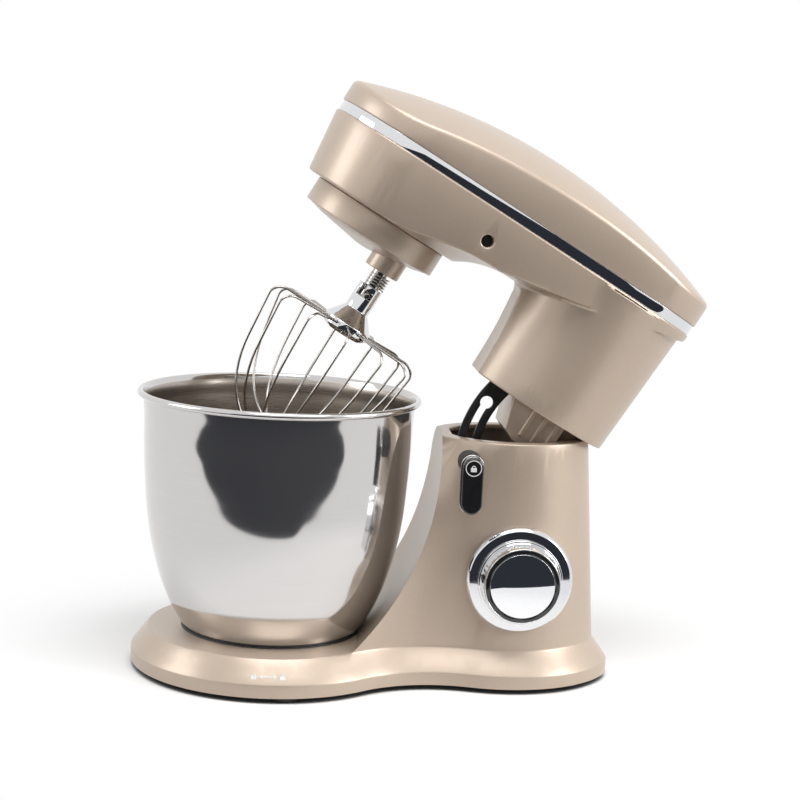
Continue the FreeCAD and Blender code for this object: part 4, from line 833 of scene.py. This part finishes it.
def makeSpring(v):
    low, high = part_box("shaft_spring")
    tilt = math.radians(v["tilt"])
    axis = Vector((math.sin(tilt), 0, math.cos(tilt)))
    middle = (low + high) / 2
    reach = ((high.z - low.z) - 2 * v["radius"] * mm * math.sin(tilt)) / math.cos(tilt) - 2 * v["wire"] * mm
    deselectAll()
    bpy.ops.mesh.primitive_circle_add(vertices=v["sides"], radius=v["wire"] * mm, fill_type="NOTHING",
                                      location=(v["radius"] * mm, 0, 0), rotation=(math.pi / 2, 0, 0))
    piece = bpy.context.active_object
    piece.name = "shaftSpring"
    piece.data.name = "shaftSpring"
    bpy.ops.object.transform_apply(location=True, rotation=True, scale=True)
    steps = v["turnSteps"] * v["turns"]
    applyModifier(piece, "SCREW", axis="Z", angle=2 * math.pi * v["turns"], screw_offset=reach,
                  steps=steps, render_steps=steps, use_merge_vertices=False, use_smooth_shade=True)
    startEdit(piece)
    bpy.ops.mesh.select_non_manifold()
    bpy.ops.mesh.edge_face_add()
    bpy.ops.mesh.select_all(action="SELECT")
    bpy.ops.mesh.normals_make_consistent(inside=False)
    stopEdit()
    start = middle - axis * reach / 2
    piece.data.transform(Matrix.Translation(start) @ Matrix.Rotation(tilt, 4, "Y"))
    smoothShade(piece, v["smooth"])
    putMaterial(piece, finishes["wire_steel"])
    settle(piece, "tool_shaft", "wire_steel", "shaft_spring")
    print("spring reach", round(reach / mm, 2))
    return piece


shaftSpring = makeSpring(springValues)


# stage: pale floor, dark card, soft studio light, camera as in the picture

floorValues = {"size": 14, "glow": 0.2, "paintedShadowReach": 0.02, "paintedShadowSamples": 8,
               "paintedShadowFrom": 0.1, "paintedShadowTo": 0.62, "paintedShadowTone": 0.03, "tone": 0.9,
               "bounce": (0.5, 0.48, 0.46), "clearFrom": 0.215, "clearTo": 0.4}


def seenDirectly(tree):
    # camera, glossy and transmission rays see the pale background, the rest see what lights the object
    path = newNode(tree, "ShaderNodeLightPath")
    straight = mathNode(tree, "MAXIMUM")
    either = mathNode(tree, "MAXIMUM")
    join(tree, path, "Is Camera Ray", straight, 0)
    join(tree, path, "Is Glossy Ray", straight, 1)
    join(tree, straight, 0, either, 0)
    join(tree, path, "Is Transmission Ray", either, 1)
    mix = newNode(tree, "ShaderNodeMixShader")
    join(tree, either, 0, mix, 0)
    return mix


def makeFloor(v):
    deselectAll()
    bpy.ops.mesh.primitive_plane_add(size=v["size"], location=(0, 0, 0))
    floor = bpy.context.active_object
    floor.name = "floor"
    material = bpy.data.materials.new("paleFloor")
    material.use_nodes = True
    tree = material.node_tree
    tree.nodes.remove(tree.nodes["Principled BSDF"])
    output = tree.nodes["Material Output"]
    place = newNode(tree, "ShaderNodeTexCoord")

    # matte floor with a painted contact shadow near the object, where ambient occlusion darkens its colour and its
    # glow, plain white further out
    matte = newNode(tree, "ShaderNodeBsdfDiffuse")
    close = newNode(tree, "ShaderNodeAmbientOcclusion", samples=v["paintedShadowSamples"])
    close.inputs["Distance"].default_value = v["paintedShadowReach"]
    shadowed = newNode(tree, "ShaderNodeMapRange", interpolation_type="SMOOTHSTEP")
    shadowed.inputs["From Min"].default_value = v["paintedShadowFrom"]
    shadowed.inputs["From Max"].default_value = v["paintedShadowTo"]
    shadowed.inputs["To Min"].default_value = v["paintedShadowTone"]
    paintedShadowColour = newNode(tree, "ShaderNodeMix", data_type="RGBA")
    paintedShadowColour.inputs[6].default_value = (0, 0, 0, 1)
    paintedShadowColour.inputs[7].default_value = (v["tone"], v["tone"], v["tone"], 1)
    join(tree, close, "AO", shadowed, "Value")
    join(tree, shadowed, 0, paintedShadowColour, 0)
    tree.links.new(paintedShadowColour.outputs[2], matte.inputs["Color"])
    bounce = newNode(tree, "ShaderNodeBsdfDiffuse")
    bounce.inputs["Color"].default_value = (*v["bounce"], 1)
    glow = newNode(tree, "ShaderNodeEmission")
    glow.inputs["Strength"].default_value = v["glow"]
    lit = newNode(tree, "ShaderNodeAddShader")
    white = newNode(tree, "ShaderNodeEmission")
    away = newNode(tree, "ShaderNodeVectorMath", operation="LENGTH")
    clear = newNode(tree, "ShaderNodeMapRange", interpolation_type="SMOOTHSTEP")
    clear.inputs["From Min"].default_value = v["clearFrom"]
    clear.inputs["From Max"].default_value = v["clearTo"]
    seen = newNode(tree, "ShaderNodeMixShader")
    join(tree, place, "Object", away, 0)
    join(tree, away, "Value", clear, "Value")
    join(tree, matte, 0, lit, 0)
    tree.links.new(paintedShadowColour.outputs[2], glow.inputs["Color"])
    join(tree, glow, 0, lit, 1)
    join(tree, clear, 0, seen, 0)
    join(tree, lit, 0, seen, 1)
    join(tree, white, 0, seen, 2)
    last = seenDirectly(tree)
    join(tree, bounce, 0, last, 1)
    join(tree, seen, 0, last, 2)
    join(tree, last, 0, output, "Surface")
    floor.data.materials.append(material)


cardValues = {"edge": -0.325, "edgeRight": -0.385, "edgeFrom": -0.04, "edgeTo": 0.06, "curve": -0.2,
              "reach": 1.6, "depth": -1.9, "rise": 0.5, "lift": 0.001, "columns": 120,
              "tone": (0.03, 0.033, 0.042)}


def makeCard(v):
    # lies in front of the object and stands up behind the camera, and only glossy rays meet it
    points, faces = [], []
    for column in range(v["columns"] + 1):
        x = v["reach"] * (2 * column / v["columns"] - 1)
        share = min(max((x - v["edgeFrom"]) / (v["edgeTo"] - v["edgeFrom"]), 0), 1)
        share = share * share * (3 - 2 * share)
        near = v["edge"] + (v["edgeRight"] - v["edge"]) * share + v["curve"] * x * (x + abs(x))
        points += [(x, near, v["lift"]), (x, v["depth"], v["lift"]), (x, v["depth"], v["rise"])]
    for column in range(v["columns"]):
        first = 3 * column
        faces += [(first, first + 1, first + 4, first + 3), (first + 1, first + 2, first + 5, first + 4)]
    mesh = bpy.data.meshes.new("card")
    mesh.from_pydata(points, [], faces)
    card = bpy.data.objects.new("card", mesh)
    scene.collection.objects.link(card)
    material = bpy.data.materials.new("dimCard")
    material.use_nodes = True
    tree = material.node_tree
    tree.nodes.remove(tree.nodes["Principled BSDF"])
    dim = newNode(tree, "ShaderNodeEmission")
    dim.inputs["Color"].default_value = (*v["tone"], 1)
    join(tree, dim, 0, tree.nodes["Material Output"], "Surface")
    mesh.materials.append(material)
    card.visible_camera = card.visible_diffuse = False
    card.visible_shadow = card.visible_transmission = False


worldValues = {"ambient": 0.34}


def makeWorld(v):
    world = bpy.data.worlds.new("studio")
    scene.world = world
    world.use_nodes = True
    tree = world.node_tree
    ground = tree.nodes["Background"]
    ground.inputs["Color"].default_value = (1, 1, 1, 1)
    ground.inputs["Strength"].default_value = v["ambient"]
    seen = newNode(tree, "ShaderNodeBackground")
    seen.inputs["Color"].default_value = (1, 1, 1, 1)
    last = seenDirectly(tree)
    join(tree, ground, 0, last, 1)
    join(tree, seen, 0, last, 2)
    join(tree, last, 0, tree.nodes["World Output"], "Surface")


def addLamp(name, place, target, size, power):
    lamp = bpy.data.lights.new(name, "AREA")
    lamp.shape = "RECTANGLE"
    lamp.size, lamp.size_y = size
    lamp.energy = power
    holder = bpy.data.objects.new(name, lamp)
    scene.collection.objects.link(holder)
    holder.location = place
    holder.rotation_euler = (Vector(target) - Vector(place)).to_track_quat("-Z", "Y").to_euler()
    return holder


lampValues = [("leftLamp", (-1.8, -0.12, 0.95), (0, 0, 0.2), (0.8, 0.9), 9),
              ("rightLamp", (1.8, -0.75, 0.9), (0, 0, 0.2), (0.9, 1.1), 24),
              ("topLamp", (0.1, -0.75, 2.0), (0, 0, 0.2), (1.5, 0.9), 22)]
cameraValues = {"place": (-0.130596, -1.37839, 0.4073), "yaw": 4.78, "pitch": 8.35, "roll": 2.92,
                "lens": 84.44, "sensor": 36.0, "near": 0.05}


def makeCamera(v):
    yaw, pitch, roll = (math.radians(v[name]) for name in ("yaw", "pitch", "roll"))
    forward = Vector((math.sin(yaw) * math.cos(pitch), math.cos(yaw) * math.cos(pitch), -math.sin(pitch)))
    right = Vector((math.cos(yaw), -math.sin(yaw), 0))
    upward = right.cross(forward)
    rolledRight = right * math.cos(roll) + upward * math.sin(roll)
    rolledUp = upward * math.cos(roll) - right * math.sin(roll)
    lens = bpy.data.cameras.new("camera")
    lens.lens = v["lens"]
    lens.sensor_width = v["sensor"]
    lens.sensor_fit = "HORIZONTAL"
    lens.clip_start = v["near"]
    camera = bpy.data.objects.new("camera", lens)
    scene.collection.objects.link(camera)
    columns = Matrix((rolledRight, rolledUp, -forward)).transposed()
    camera.matrix_world = Matrix.Translation(v["place"]) @ columns.to_4x4()
    scene.camera = camera


makeFloor(floorValues)
makeCard(cardValues)
makeWorld(worldValues)
for lampName, place, target, size, power in lampValues:
    addLamp(lampName, place, target, size, power)
makeCamera(cameraValues)
print("stage set")

deselectAll()
